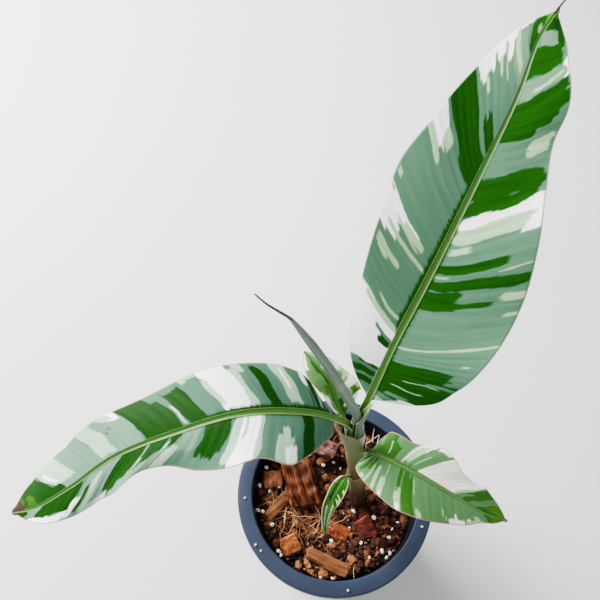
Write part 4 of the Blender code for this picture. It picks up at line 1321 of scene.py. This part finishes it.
LOW = BananaLeaf(
    name="leaf_low", layer=5, faces=222, closes=171, top=163, wing=(0, 60, 182, 1, 0, 2),
    rib=((9, 2, 168), (4, -1.5, 176), (-0.5, -8, 173), (-3.8, -14, 166), (-7.8, -24.5, 149),
         (-8.6, -33, 134)),
    petiole=7, rib_radius=(1.7, 1.2, 0.6), waves=1.5, rows=130, columns=14,
    left=Half(
        margin=((0, 0), (0.04, 4), (0.1, 6), (0.22, 7), (0.35, 6), (0.5, 4.2), (0.7, 2.8), (1, 0)),
        fold=15, sag=0, wave=0.6, phase=0.0, base=D,
        streaks=((P, 2, 10, 70, 100), (W, 14, 52, 94, 100), (P, 22, 25, 60, 100), (P, 34, 36, 25, 100),
                 (P, 41, 43.5, 35, 100), (W, 37, 39, 76, 100), (G, 50, 90, 0, 100), (P, 52, 88, 30, 55),
                 (P, 60, 90, 90, 100), (F, 92, 100, 0, 100)),
    ),
    right=Half(
        margin=((0, 0), (0.06, 3), (0.15, 4.7), (0.3, 5), (0.5, 5), (0.7, 3.8), (0.86, 2.2), (1, 0)),
        fold=15, sag=0, wave=0.5, phase=0.5, base=D,
        streaks=((F, 0, 100, 30, 100), (W, 5, 16, 62, 100), (D, 20, 44, 0, 50), (G, 50, 92, 0, 100),
                 (P, 56, 90, 20, 44), (W, 16, 90, 91, 100)),
    ),
    blade_skin=LeafSkin("banana leaf, young", fresh="#2d5f08", dark="#154503", deep="#0d3602", grey="#356820",
                        teal="#32651f", white="#efe3dc", pale="#a9bb8c", margin="#b98b7a", flank_mm=0.35),
    # Its near-black foot is partly painted shade at the stem's base.
    sheath_skin=SheathSkin("old outer sheath", bloom="#7d7448", shade="#675f38", warm="#66641f",
                           edge="#a87f6a", dry="#5c3424", foot="#2a190c", edge_mm=1.8),
    tuck=0.4, foot=(172, 42), dry_tip=0.8, seed=13,
)


@dataclass
class RolledLeaf:
    """The new leaf, still rolled: a tapering roll with one lapped edge, and a dry thread at its tip."""

    heights: tuple = (104, 130, 156, 182, 208, 232, 255)
    line: tuple = ((2.0, 17.5, 285), (-9, 21, 318), (-21, 22.5, 352), (-31.8, 23.4, 380))
    radii: tuple = ((100, 1.5), (150, 1.6), (200, 2.2), (235, 2.9), (285, 3.3), (318, 2.8), (352, 2.7),
                    (368, 2.0), (381, 1.1))
    thread: tuple = ((-28.5, 23.2, 373), (-33.2, 23.5, 382), (-38, 23.6, 388), (-43.7, 24.6, 394),
                     (-48.6, 27.3, 398))
    lap: float = 0.35
    lap_side: float = 0.9
    twist: float = 2.2
    sides: int = 40
    rings: int = 150
    skin: SheathSkin = SheathSkin("rolled leaf", bloom="#67796b", shade="#526458", edge="#82957f",
                                  dry="#75886f", warm="#8f8d66", edge_mm=0.45)

    def build(self, rib_skin: RibSkin) -> None:
        """Builds the roll and its thread in place of their node.

        Args:
            rib_skin: the thread's finish.
        """
        line = Line(np.concatenate([STEM.points(self.heights), np.array(self.line, float)]))
        where = np.linspace(0, line.length, self.rings)
        heights = line.read(where)[0][:, 2]
        radii = np.interp(heights, *(np.array(self.radii, float) * MM).T)[:, None]
        turn = np.arange(self.sides)[None, :] / self.sides
        lapped = radii * (1 - self.lap * MM * (1 - turn) / radii)
        angles = TURN * turn + self.lap_side + self.twist * np.linspace(0, 1, self.rings)[:, None]
        edge = np.abs((turn + 0.5) % 1 - 0.5) * TURN * radii / MM + 0.15
        # A warm band where the roll leaves the stem.
        warm = 0.6 * np.exp(-(((where[:, None] / MM - 205) / 5) ** 2))
        veins = rows_of(TURN * turn * 3 * MM, where[:, None], 0.0)
        roll = new_mesh("leaf_rolled_blade", line.rings(where, lapped, angles),
                        ring_faces(self.rings, self.sides), self.skin.material(),
                        skin=rows_of(edge, warm, 0.0), veins=veins)
        rides(outwards(roll), "rolled_leaf", "leaf_rolled")
        points, faces = dry_thread(self.thread, 1.0, 30)
        thread = new_mesh("leaf_rolled_thread", points, faces, rib_skin.material(),
                          rod=[THREAD_MARK] * len(points), veins=points)
        rides(outwards(thread), "rolled_leaf", "leaf_rolled")


# Pot and mix


@dataclass
class NurseryPot:
    """The round nursery pot: a turned wall with a rim that turns down outside, and drain holes."""

    height: float = 130
    rim_radius: float = 76.5
    rim_width: float = 11.5
    skirt: float = 9
    wall: float = 1.6
    floor: float = 2.4
    base_radius: float = 51
    corner: float = 3
    rounding: float = 1.2
    sides: int = 144
    holes: int = 8
    hole_radius: float = 5
    hole_circle: float = 37
    sweep: float = 60

    def profile(self) -> tuple[np.ndarray, np.ndarray]:
        """The wall's outline, with rounded corners.

        Returns:
            Its points as (radius, height) in metres, and how much painted shade, with some dirt, darkens each
            one inside the pot.
        """
        base, wall, corner, lip = self.base_radius, self.wall, self.corner, self.rounding
        rim, neck = self.rim_radius, self.rim_radius - self.rim_width
        top, low, under = self.height, self.height - self.skirt, self.height - self.wall
        points = [(0, 0), (base - corner, 0), (base - 0.3 * corner, 0.3 * corner), (base, corner)]
        for t in (0.25, 0.5, 0.75):
            points.append((base + (neck + wall - base) * t, corner + (under - corner) * t))
        points += [(neck + wall, under), (rim - wall, under), (rim - wall, low), (rim, low)]
        for middle, start in ((rim - lip, 0), (neck + lip, 90)):
            for angle in np.radians(start + 22.5 * np.arange(5)):
                points.append((middle + lip * math.cos(angle), top - lip + lip * math.sin(angle)))
        foot = [(base - wall, self.floor + corner), (base - wall - corner, self.floor), (0, self.floor)]
        # Painted shade with some dirt inside: nearly full at the neck, full over the floor.
        dark = [0.0] * (len(points) - 1) + [0.9] + [1.0] * len(foot)
        return np.array(points + foot, float) * MM, np.array(dark)

    def build(self) -> None:
        """Builds the pot in place of its node: its outline turned about its middle, less the drain holes."""
        points, dark = (values[::-1] for values in self.profile())
        flat = np.column_stack([points[:, 0] - self.sweep * MM, -points[:, 1], np.zeros(len(points))])
        # The inside attribute carries the painted shade and dirt.
        obj = new_mesh("pot_shell", flat, [], edges=[(i, i + 1) for i in range(len(flat) - 1)], inside=dark)
        sizes = {"Sides": self.sides, "Sweep radius": self.sweep * MM, "Holes": self.holes,
                 "Hole circle": self.hole_circle * MM, "Hole radius": self.hole_radius * MM}
        tree, given = start_tree("turned pot", sizes)
        outline = put(tree, "GeometryNodeMeshToCurve", {"Mesh": given["Geometry"]})
        path = put(tree, "GeometryNodeCurvePrimitiveCircle",
                   {"Resolution": given["Sides"], "Radius": given["Sweep radius"]})
        swept = put(tree, "GeometryNodeCurveToMesh", {"Curve": path, "Profile Curve": outline})
        closed = put(tree, "GeometryNodeMergeByDistance", {"Geometry": swept, "Distance": 1e-5})
        circle = put(tree, "GeometryNodeMeshCircle",
                     {"Vertices": given["Holes"], "Radius": given["Hole circle"]})
        turned = put(tree, "GeometryNodeTransform",
                     {"Geometry": circle, "Rotation": (0, 0, TURN / 2 / self.holes)})
        drill = put(tree, "GeometryNodeMeshCylinder",
                    {"Vertices": 24, "Radius": given["Hole radius"], "Depth": 0.02})
        drills = put(tree, "GeometryNodeInstanceOnPoints", {"Points": turned, "Instance": drill})
        cutters = put(tree, "GeometryNodeRealizeInstances", [drills])
        cut = put(tree, "GeometryNodeMeshBoolean", {"Mesh 1": closed, "Mesh 2": cutters},
                  operation="DIFFERENCE")
        grow(obj, tree, cut, MouldedPolypropylene().material(), sizes)
        outwards(obj).data.shade_smooth()
        obj.data.set_sharp_from_angle(angle=math.radians(35))
        rides(obj, "pot", "pot")


@dataclass
class BarkBlock:
    """A broken block of bark or husk: the hull of a knocked box, finely cut, ridged along its grain.

    The middle and size are in mm and the turns in degrees. The grain is how finely the ridges
    follow one another each way.
    """

    name: str
    middle: tuple
    size: tuple
    turns: tuple
    seed: int
    finish: DampBark | None = None
    slot: str = ""
    grain: tuple = (1.0, 1.0, 1.0)
    relief: float = 0.5
    cuts: int = 13

    def shape(self) -> tuple[np.ndarray, list, np.ndarray]:
        """The block's shape.

        Returns:
            Its points in the pot's frame, its faces, and its points in its own frame.
        """
        draw = np.random.default_rng(self.seed)
        corners = np.array([(x, y, z) for x in (-1, 1) for y in (-1, 1) for z in (-1, 1)], float)
        middles = np.concatenate([np.eye(3), -np.eye(3)])
        # A box with its corners knocked in, and the middles of its sides a little in or out.
        knocked = 0.5 * corners * (1 - 0.28 * draw.random((8, 3)))
        swollen = 0.52 * middles * (1 - 0.1 * draw.random((6, 3)))
        work = bmesh.new()
        for point in np.concatenate([knocked, swollen]) * np.array(self.size) * MM:
            work.verts.new(point)
        hull = bmesh.ops.convex_hull(work, input=work.verts)
        bmesh.ops.delete(work, geom=hull["geom_interior"], context="VERTS")
        bmesh.ops.subdivide_edges(work, edges=work.edges, cuts=self.cuts, use_grid_fill=True)
        for _ in range(5):
            bmesh.ops.smooth_vert(work, verts=work.verts, factor=0.5, use_axis_x=True, use_axis_y=True,
                                  use_axis_z=True)
        work.normal_update()
        work.verts.index_update()
        own = np.array([vert.co for vert in work.verts])
        normals = np.array([vert.normal for vert in work.verts])
        faces = [tuple(vert.index for vert in face.verts) for face in work.faces]
        work.free()
        # Ridges along the grain and lumps, from each block's own part of the noise.
        shift, limit = 7.3 * self.seed, 0.06 * min(self.size)
        moves = []
        for place in own / MM:
            ridge = noise.noise(Vector(place * np.array(self.grain)) * 0.4 + Vector((shift, 0, 0)))
            lump = noise.noise(Vector(place) * 0.16 + Vector((0, shift, 0)))
            moves.append(self.relief * (0.9 * (1 - abs(ridge) * 2) - 0.5 + 1.3 * lump))
        own = own + normals * (np.clip(moves, -2.5 * limit, 1.2 * limit) * MM)[:, None]
        turn = Matrix.Identity(3)
        for axis, angle in zip("XYZ", self.turns):
            turn = Matrix.Rotation(math.radians(angle), 3, axis) @ turn
        return own @ np.array(turn).T + np.array(self.middle) * MM, faces, own

    def build(self) -> None:
        """Builds the block in place of its node."""
        points, faces, own = self.shape()
        obj = new_mesh(f"{self.name}_rough", points, faces, self.finish.material(), own=own)
        rides(outwards(obj), self.slot, self.name)


# Coconut husk: long coarse fibres in deep furrows, red-brown when damp, mauve-brown when old.
HUSK = DampBark("fibrous coconut husk", low="#0e0301", middle="#401a07", high="#763c15", fibre_mm=1.7,
                along=(1.0, 0.035, 1.0), rough=0.66)
OLD_HUSK = DampBark("grey-brown husk", low="#2a1410", middle="#5a3831", high="#825b52", fibre_mm=1.5,
                    along=(0.08, 1.0, 1.0))
# Split bark: short blunt fibres, dull, with the grain the way it split.
BROWN_BARK = DampBark("split brown bark", low="#281006", middle="#5d2f18", high="#855232", fibre_mm=1.6,
                      along=(1.0, 0.4, 1.0))
TAN_BARK = DampBark("split tan bark", low="#291206", middle="#613719", high="#8a5832", fibre_mm=1.5,
                    along=(1.0, 0.07, 1.0))
TAN_STRIP = replace(TAN_BARK, name="split tan bark, lengthways", along=(0.06, 1.0, 1.0))
# Fresh breaks and inner bark: brighter, smoother and a little shinier.
AMBER_BARK = DampBark("fresh broken bark", low="#431b06", middle="#743a12", high="#985f29", fibre_mm=1.6,
                      along=(0.5, 1.0, 1.0))
ORANGE_BARK = DampBark("orange inner bark", low="#2e0d03", middle="#642608", high="#8e4414", fibre_mm=1.6,
                       along=(0.15, 1.0, 1.0), rough=0.5)
RED_BARK = DampBark("dark red bark", low="#110302", middle="#350c06", high="#5e1d0c", fibre_mm=1.6,
                    along=(0.3, 1.0, 1.0), rough=0.45)
# The fine mix: near black between crumbs of every brown, dark with damp and with painted shade between the
# crumbs.
BED = DampBark("damp fine mix with painted shade", low="#070302", middle="#1a0c07", high="#402010", fibre_mm=1.4, tinted=True)
CRUMB = DampBark("damp bark crumbs", low="#0c0502", middle="#43200d", high="#85522b", fibre_mm=1.4,
                 tinted=True)
# Coir, dry roots and the corm: pale, dry and fibrous.
COIR = DampBark("coir fibre", low="#55301c", middle="#8a5b38", high="#b48a60", tinted=True)
DRY_ROOT = DampBark("dry root", low="#7d6a58", middle="#a8957f", high="#c6b6a0", ruddy_and_shaded="#a8957f", tinted=True)
CORM = DampBark("corm and roots", low="#8a7354", middle="#b39c78", high="#d2c09c", tinted=True)

BLOCKS = (
    BarkBlock("husk_chunk", (-26, 10, 118), (25, 40, 22), (12, -8, 14), 40, HUSK, "husk",
              (1.0, 0.05, 0.6), 1.9, 26),
    BarkBlock("husk_flake", (-7, 38, 120), (22, 15, 26), (14, 10, -20), 41, OLD_HUSK, "husk",
              (0.5, 0.6, 0.5), 0.8, 16),
    BarkBlock("bark_chip_square", (-50, 14, 114), (17, 15, 10), (6, 10, 8), 42, BROWN_BARK, "bark_brown"),
    BarkBlock("bark_chip_slanted", (-46, -8, 114), (9, 25, 9), (0, 12, -42), 43, TAN_BARK, "bark_tan",
              (1.0, 0.12, 1.0)),
    BarkBlock("bark_chip_amber", (-35, -37, 114), (15, 15, 11), (8, 4, 20), 44, AMBER_BARK, "bark_amber"),
    BarkBlock("bark_chip_orange", (2, -27, 113), (19, 13, 9), (-8, 6, -22), 45, ORANGE_BARK, "bark_amber"),
    BarkBlock("bark_chip_red", (24, -24, 113), (18, 18, 10), (10, -6, 24), 46, RED_BARK, "bark_red"),
    BarkBlock("bark_strip", (-6, -50, 114), (37, 11, 8), (4, 3, -24), 47, TAN_STRIP, "bark_tan",
              (0.12, 1.0, 1.0)),
)


class Bit(Enum):
    """What is strewn: squarish chips, rounded grains or bent fibres."""

    CHIP = "chip"
    GRAIN = "grain"
    FIBRE = "fibre"


@dataclass(frozen=True)
class Strewn:
    """Bits strewn over a sheet, or laid one at each of some points.

    The density is bits to a square metre. The size is their least and greatest length in mm, and
    slim the least and greatest width and height as shares of it. Their surfaces are knocked about
    by rough mm.
    """

    name: str
    bit: Bit
    density: float
    size: tuple
    slim: tuple
    seed: int
    rough: float

    def shape(self, tree: bpy.types.NodeTree) -> bpy.types.Node:
        """Adds the shape that is strewn.

        Args:
            tree: the tree that gets its nodes.

        Returns:
            The node that gives one bit, a metre long, with a few dozen faces.
        """
        if self.bit is Bit.CHIP:
            return put(tree, "GeometryNodeMeshCube",
                       {"Size": (1, 1, 1), "Vertices X": 3, "Vertices Y": 3, "Vertices Z": 3})
        if self.bit is Bit.GRAIN:
            return put(tree, "GeometryNodeMeshIcoSphere", {"Radius": 0.5, "Subdivisions": 2})
        straight = put(tree, "GeometryNodeCurvePrimitiveLine", {"Start": (-0.5, 0, 0), "End": (0.5, 0, 0)})
        stepped = put(tree, "GeometryNodeResampleCurve", {"Curve": straight, "Count": 12})
        ring = put(tree, "GeometryNodeCurvePrimitiveCircle", {"Resolution": 5, "Radius": 0.5})
        return put(tree, "GeometryNodeCurveToMesh",
                   {"Curve": stepped, "Profile Curve": ring, "Fill Caps": True})

    def build(self, obj: bpy.types.Object, material: bpy.types.Material) -> None:
        """Puts the bits in the place of a sheet, or of points.

        Args:
            obj: the sheet, or a mesh of points alone.
            material: the bits' finish.
        """
        fibre = self.bit is Bit.FIBRE
        sizes = {"Density": float(self.density), "Seed": self.seed, "Least size": self.size[0] * MM,
                 "Greatest size": self.size[1] * MM, "Roughness": self.rough * MM}
        tree, given = start_tree(self.name, sizes)
        place = put(tree, "GeometryNodeInputPosition")
        if obj.data.polygons:
            # Thinner in patches, so that the bed shows between them.
            patches = put(tree, "ShaderNodeTexNoise", {"Vector": place, "Scale": 55, "Detail": 1})
            bare = put(tree, "ShaderNodeMapRange", [patches, 0.4, 0.52, 0.15, 1.0])
            thick = put(tree, "ShaderNodeMath", [given["Density"], bare], operation="MULTIPLY")
            spread = put(tree, "GeometryNodeDistributePointsOnFaces",
                         {"Mesh": given["Geometry"], "Density": thick, "Seed": given["Seed"]})
        else:
            spread = put(tree, "GeometryNodeMeshToPoints", {"Mesh": given["Geometry"]})
        length = put(tree, "FunctionNodeRandomValue",
                     {2: given["Least size"], 3: given["Greatest size"], "Seed": 5}, data_type="FLOAT")
        least, most = self.slim
        slim = put(tree, "FunctionNodeRandomValue", {0: (1, least, least), 1: (1, most, most), "Seed": 6},
                   data_type="FLOAT_VECTOR")
        scale = put(tree, "ShaderNodeVectorMath", {0: slim, "Scale": length}, operation="SCALE")
        tilt = 0.25 if fibre else 0.6
        turn = put(tree, "FunctionNodeRandomValue", {0: (-tilt, -tilt, 0), 1: (tilt, tilt, TURN), "Seed": 7},
                   data_type="FLOAT_VECTOR")
        placed = put(tree, "GeometryNodeInstanceOnPoints",
                     {"Points": spread, "Instance": self.shape(tree), "Rotation": turn, "Scale": scale})
        # Most bits are dark, and a few are light.
        drawn = put(tree, "FunctionNodeRandomValue", {2: 0.0, 3: 1.0, "Seed": 8}, data_type="FLOAT")
        tint = put(tree, "ShaderNodeMath", [drawn, 1.4], operation="POWER")
        marked = put(tree, "GeometryNodeStoreNamedAttribute",
                     {"Geometry": placed, "Name": "tint", "Value": tint}, data_type="FLOAT",
                     domain="INSTANCE")
        loose = put(tree, "GeometryNodeRealizeInstances", [marked])
        # Fibres bend in long waves, and grains and chips are knocked about all over.
        bend = put(tree, "ShaderNodeTexNoise", {"Vector": place, "Scale": 90 if fibre else 330, "Detail": 1})
        centred = put(tree, "ShaderNodeVectorMath", [bend.outputs["Color"], (0.5, 0.5, 0.5)],
                      operation="SUBTRACT")
        push = put(tree, "ShaderNodeVectorMath", {0: centred, "Scale": given["Roughness"]}, operation="SCALE")
        moved = put(tree, "GeometryNodeSetPosition", {"Geometry": loose, "Offset": push})
        grow(obj, tree, moved, material, sizes)
        rides(outwards(obj), "bark_mix")


@dataclass
class BarkMix:
    """The bark mix: its body, small chips, crumbs, coir fibres, perlite and dry roots."""

    level: float = 112
    shoulder: float = 110.5
    wall: tuple = (49.4, 65.0)
    heights: tuple = (5.4, 128.8)
    foot: tuple = ((46.05, 2.75), (49.05, 5.75))
    gap: float = 0.35
    chips: int = 22
    chip_seed: int = 11
    tangle_seed: int = 17
    perlite: tuple = (
        (-60, 9), (-52, 5), (-44, 8), (-55, 23), (-61, -11), (-57, -12), (-44, -42), (-42, -45), (15, -12),
        (31, -17), (-3, -35), (-3, -62), (42, -32), (45, -26), (42, -44), (36, -42), (26, -47), (0, 27),
        (-8, 25), (-12, -61), (39, -47), (-49, -22), (20, -36), (50, -20), (14, 44), (38, 40), (-20, 34),
    )
    rim_height: float = 130.6
    rim_crumbs: tuple = ((-70.4, -4.5), (-61, -39.7), (-56.8, -44), (66.1, -26.5), (7.9, -71.9))
    twigs: tuple = ((34, 50, 122), (38, 47, 119), (33, 46, 119))

    def height(self, x: float, y: float) -> float:
        """Height of the mix in metres, in low swells, at a place in metres."""
        swell = 1.6 * math.sin(61 * x + 0.6) + 1.3 * math.sin(83 * y - 1.1) + 0.9 * math.sin(140 * (x + y))
        return (self.level + swell) * MM

    def wall_at(self, height: float) -> float:
        """Radius of the pot's inside at a height, in mm."""
        return float(np.interp(height, self.heights, self.wall))

    def bed(self) -> bpy.types.Object:
        """The mix's body: closed, filling the pot, with a fine uneven top.

        Returns:
            The body as one piece.
        """
        sides, rings = 120, 44
        rim = self.wall_at(self.level) - self.gap
        rows = [*self.foot, *[(self.wall_at(z) - self.gap, z) for z in (40, 75, 100)], (rim, self.shoulder)]
        rows += [(rim * (1 - ring / rings), None) for ring in range(1, rings)]
        points = []
        for radius, height in rows:
            for angle in np.arange(sides) * TURN / sides:
                x, y = radius * MM * math.cos(angle), radius * MM * math.sin(angle)
                if height is None:
                    place = Vector((x, y, 0.3)) * 260
                    rough = 1.5 * noise.noise(place) + 0.8 * noise.noise(place * 2.7) - 0.8
                    points.append((x, y, self.height(x, y) + rough * MM))
                else:
                    points.append((x, y, height * MM))
        last, middle = len(points) - sides, len(points)
        points.append((0, 0, self.height(0, 0)))
        faces = ring_faces(len(rows), sides)[:-1]
        faces += [(last + j, last + (j + 1) % sides, middle) for j in range(sides)]
        # The low tint keeps the body near black: the damp mix's own dark and painted shade between the
        # crumbs.
        return outwards(new_mesh("mix_bed", points, faces, BED.material(), tint=[0.12] * len(points)))

    def small_chips(self, finish: bpy.types.Material) -> bpy.types.Object:
        """The small chips that the mix's node holds, strewn by its rule.

        Args:
            finish: their finish.

        Returns:
            The chips as one piece.
        """
        golden_angle, reach = 2.399963, 56
        draw = np.random.default_rng(self.chip_seed)
        points, faces, tints = [], [], []
        for index in range(self.chips):
            radius = reach * MM * math.sqrt((index + 0.5) / self.chips)
            x, y = radius * math.cos(index * golden_angle), radius * math.sin(index * golden_angle)
            length = draw.uniform(7, 13)
            size = (length, length * draw.uniform(0.55, 0.9), length * draw.uniform(0.5, 0.7))
            turns = (*draw.uniform(-24, 24, 2), draw.uniform(0, 180))
            middle = (x / MM, y / MM, self.height(x, y) / MM + 0.1 * size[2])
            block = BarkBlock("chip", middle, size, turns, 100 + index, grain=(1, 0.3, 1), relief=0.35,
                              cuts=5)
            found, sheets, _ = block.shape()
            faces += shifted(sheets, len(points))
            points += found.tolist()
            tints += [0.2 + 0.65 * ((index * 0.618) % 1)] * len(found)
        return outwards(new_mesh("mix_chips", points, faces, finish, tint=tints))

    def sheet(self, name: str, reach: float) -> bpy.types.Object:
        """A plain sheet over the top of the mix, for strewing on.

        Args:
            name: its name.
            reach: its radius in mm.

        Returns:
            The sheet.
        """
        sides, rings = 48, 14
        points, faces = [], []
        for radius in reach * MM * np.arange(rings + 1) / rings:
            for angle in np.arange(sides) * TURN / sides:
                x, y = radius * math.cos(angle), radius * math.sin(angle)
                points.append((x, y, self.height(x, y)))
        for i in range(rings):
            for j in range(sides):
                a, b = i * sides + j, i * sides + (j + 1) % sides
                faces.append((a, a + sides, b + sides, b))
        return new_mesh(name, points, faces)

    def tangle(self) -> list[tuple[float, float, float]]:
        """Lays the tangle of coir at the left.

        Returns:
            The middle of each fibre, in metres.
        """
        count, reach = 95, 52
        draw = np.random.default_rng(self.tangle_seed)
        found = []
        for across, along in draw.normal(0, 1, (count, 2)):
            x, y = (-32 + 15 * across) * MM, (-14 - 4 * across + 8 * along) * MM
            if math.hypot(x, y) < reach * MM:
                found.append((x, y, self.height(x, y) + draw.uniform(3, 6) * MM))
        return found

    def build(self) -> None:
        """Builds the mix in place of its node."""
        crumb, coir, root = CRUMB.material(), COIR.material(), DRY_ROOT.material()
        chalk = ExpandedPerlite().material()
        rides(self.bed(), "bark_mix", "bark_mix")
        rides(self.small_chips(crumb), "bark_mix", "bark_mix")
        grains = [(x * MM, y * MM, self.height(x * MM, y * MM) + 4.5 * MM) for x, y in self.perlite]
        strays = [(x * MM, y * MM, self.rim_height * MM) for x, y in self.rim_crumbs]
        twigs = np.array(self.twigs) * MM
        for bits, finish, places in (
            (Strewn("mix_crumbs", Bit.GRAIN, 50000, (3.5, 9.5), (0.45, 0.9), 3, 3.6), crumb, None),
            (Strewn("mix_grit", Bit.CHIP, 160000, (1.2, 3.0), (0.5, 0.9), 4, 0.8), crumb, None),
            (Strewn("mix_fibres", Bit.FIBRE, 9000, (10, 26), (0.014, 0.026), 9, 9.0), coir, None),
            (Strewn("mix_coir_tangle", Bit.FIBRE, 0, (14, 30), (0.016, 0.03), 10, 9.0), coir, self.tangle()),
            (Strewn("mix_perlite_dust", Bit.GRAIN, 5000, (0.9, 2.6), (0.7, 1.0), 12, 0.6), chalk, None),
            (Strewn("mix_perlite", Bit.GRAIN, 0, (2.0, 4.5), (0.55, 1.0), 13, 2.4), chalk, grains),
            (Strewn("mix_perlite_rim", Bit.GRAIN, 0, (1.2, 2.4), (0.7, 1.0), 14, 0.8), chalk, strays),
            (Strewn("mix_twigs", Bit.FIBRE, 0, (13, 17), (0.05, 0.07), 15, 3.0), root, twigs),
        ):
            reach = self.wall_at(self.level) - 0.35 * bits.size[1]
            ground = self.sheet(bits.name, reach) if places is None else new_mesh(bits.name, places, [])
            bits.build(ground, finish)


@dataclass
class Studio:
    """Pale floor, soft daylight and the camera, which looks steeply down from the front."""

    lens: float = 41.4
    place: tuple = (-0.02741624, -0.13072604, 0.67707584)
    elevation: float = 61.0
    floor_reach: float = 14.0
    aim: tuple = (0, 0.05, 0.2)
    lamps: tuple = (("window", (-0.9, 0.8, 0.95), 1.0, 145.0), ("fill", (1.1, -0.7, 1.4), 1.6, 3.0))
    sky: str = "#f2f4f6"
    sky_strength: float = 1.08

    def floor(self) -> None:
        """A wide pale floor that the pot stands on."""
        far = self.floor_reach
        corners = [(-far, -far, 0), (far, -far, 0), (far, far, 0), (-far, far, 0)]
        new_mesh("floor", corners, [(0, 1, 2, 3)], PaintedFloor().material(), smooth=False)

    def camera(self) -> None:
        """The camera, at the viewing angle of a plant held up towards a window."""
        angle = math.radians(self.elevation)
        up = Vector((0, math.sin(angle), math.cos(angle)))
        back = Vector((0, -math.cos(angle), math.sin(angle)))
        data = bpy.data.cameras.new("camera")
        data.lens = self.lens
        data.sensor_width = 36
        data.clip_start = 0.01
        camera = bpy.data.objects.new("camera", data)
        bpy.context.scene.collection.objects.link(camera)
        turn = Matrix((Vector((1, 0, 0)), up, back)).transposed().to_4x4()
        camera.matrix_world = Matrix.Translation(self.place) @ turn
        bpy.context.scene.camera = camera

    def lights(self) -> None:
        """A large soft window light from behind left, a weaker one from the right, and an even sky."""
        for name, place, size, power in self.lamps:
            data = bpy.data.lights.new(name, "AREA")
            data.size = size
            data.energy = power
            light = bpy.data.objects.new(name, data)
            bpy.context.scene.collection.objects.link(light)
            light.location = place
            light.rotation_euler = (Vector(self.aim) - Vector(place)).to_track_quat("-Z", "Y").to_euler()
        world = bpy.data.worlds.new("sky")
        world.use_nodes = True
        feed(world.node_tree, world.node_tree.nodes["Background"], [self.sky, self.sky_strength])
        bpy.context.scene.world = world


def main() -> None:
    """Builds every piece in order and reports each one."""
    logging.basicConfig(level=logging.INFO, format="%(name)s %(message)s")
    studio = Studio()
    studio.camera()
    studio.lights()
    studio.floor()
    NurseryPot().build()
    BarkMix().build()
    for block in BLOCKS:
        block.build()
    rib_skin = RibSkin()
    for leaf in (TALL, LONG, REAR, SHORT, LOW):
        leaf.build(rib_skin)
    RolledLeaf().build(rib_skin)
    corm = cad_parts["corm_and_roots"]
    corm.data.materials.clear()
    corm.data.materials.append(CORM.material())
    log.info("corm_and_roots: given its finish")


if __name__ == "__main__":
    main()
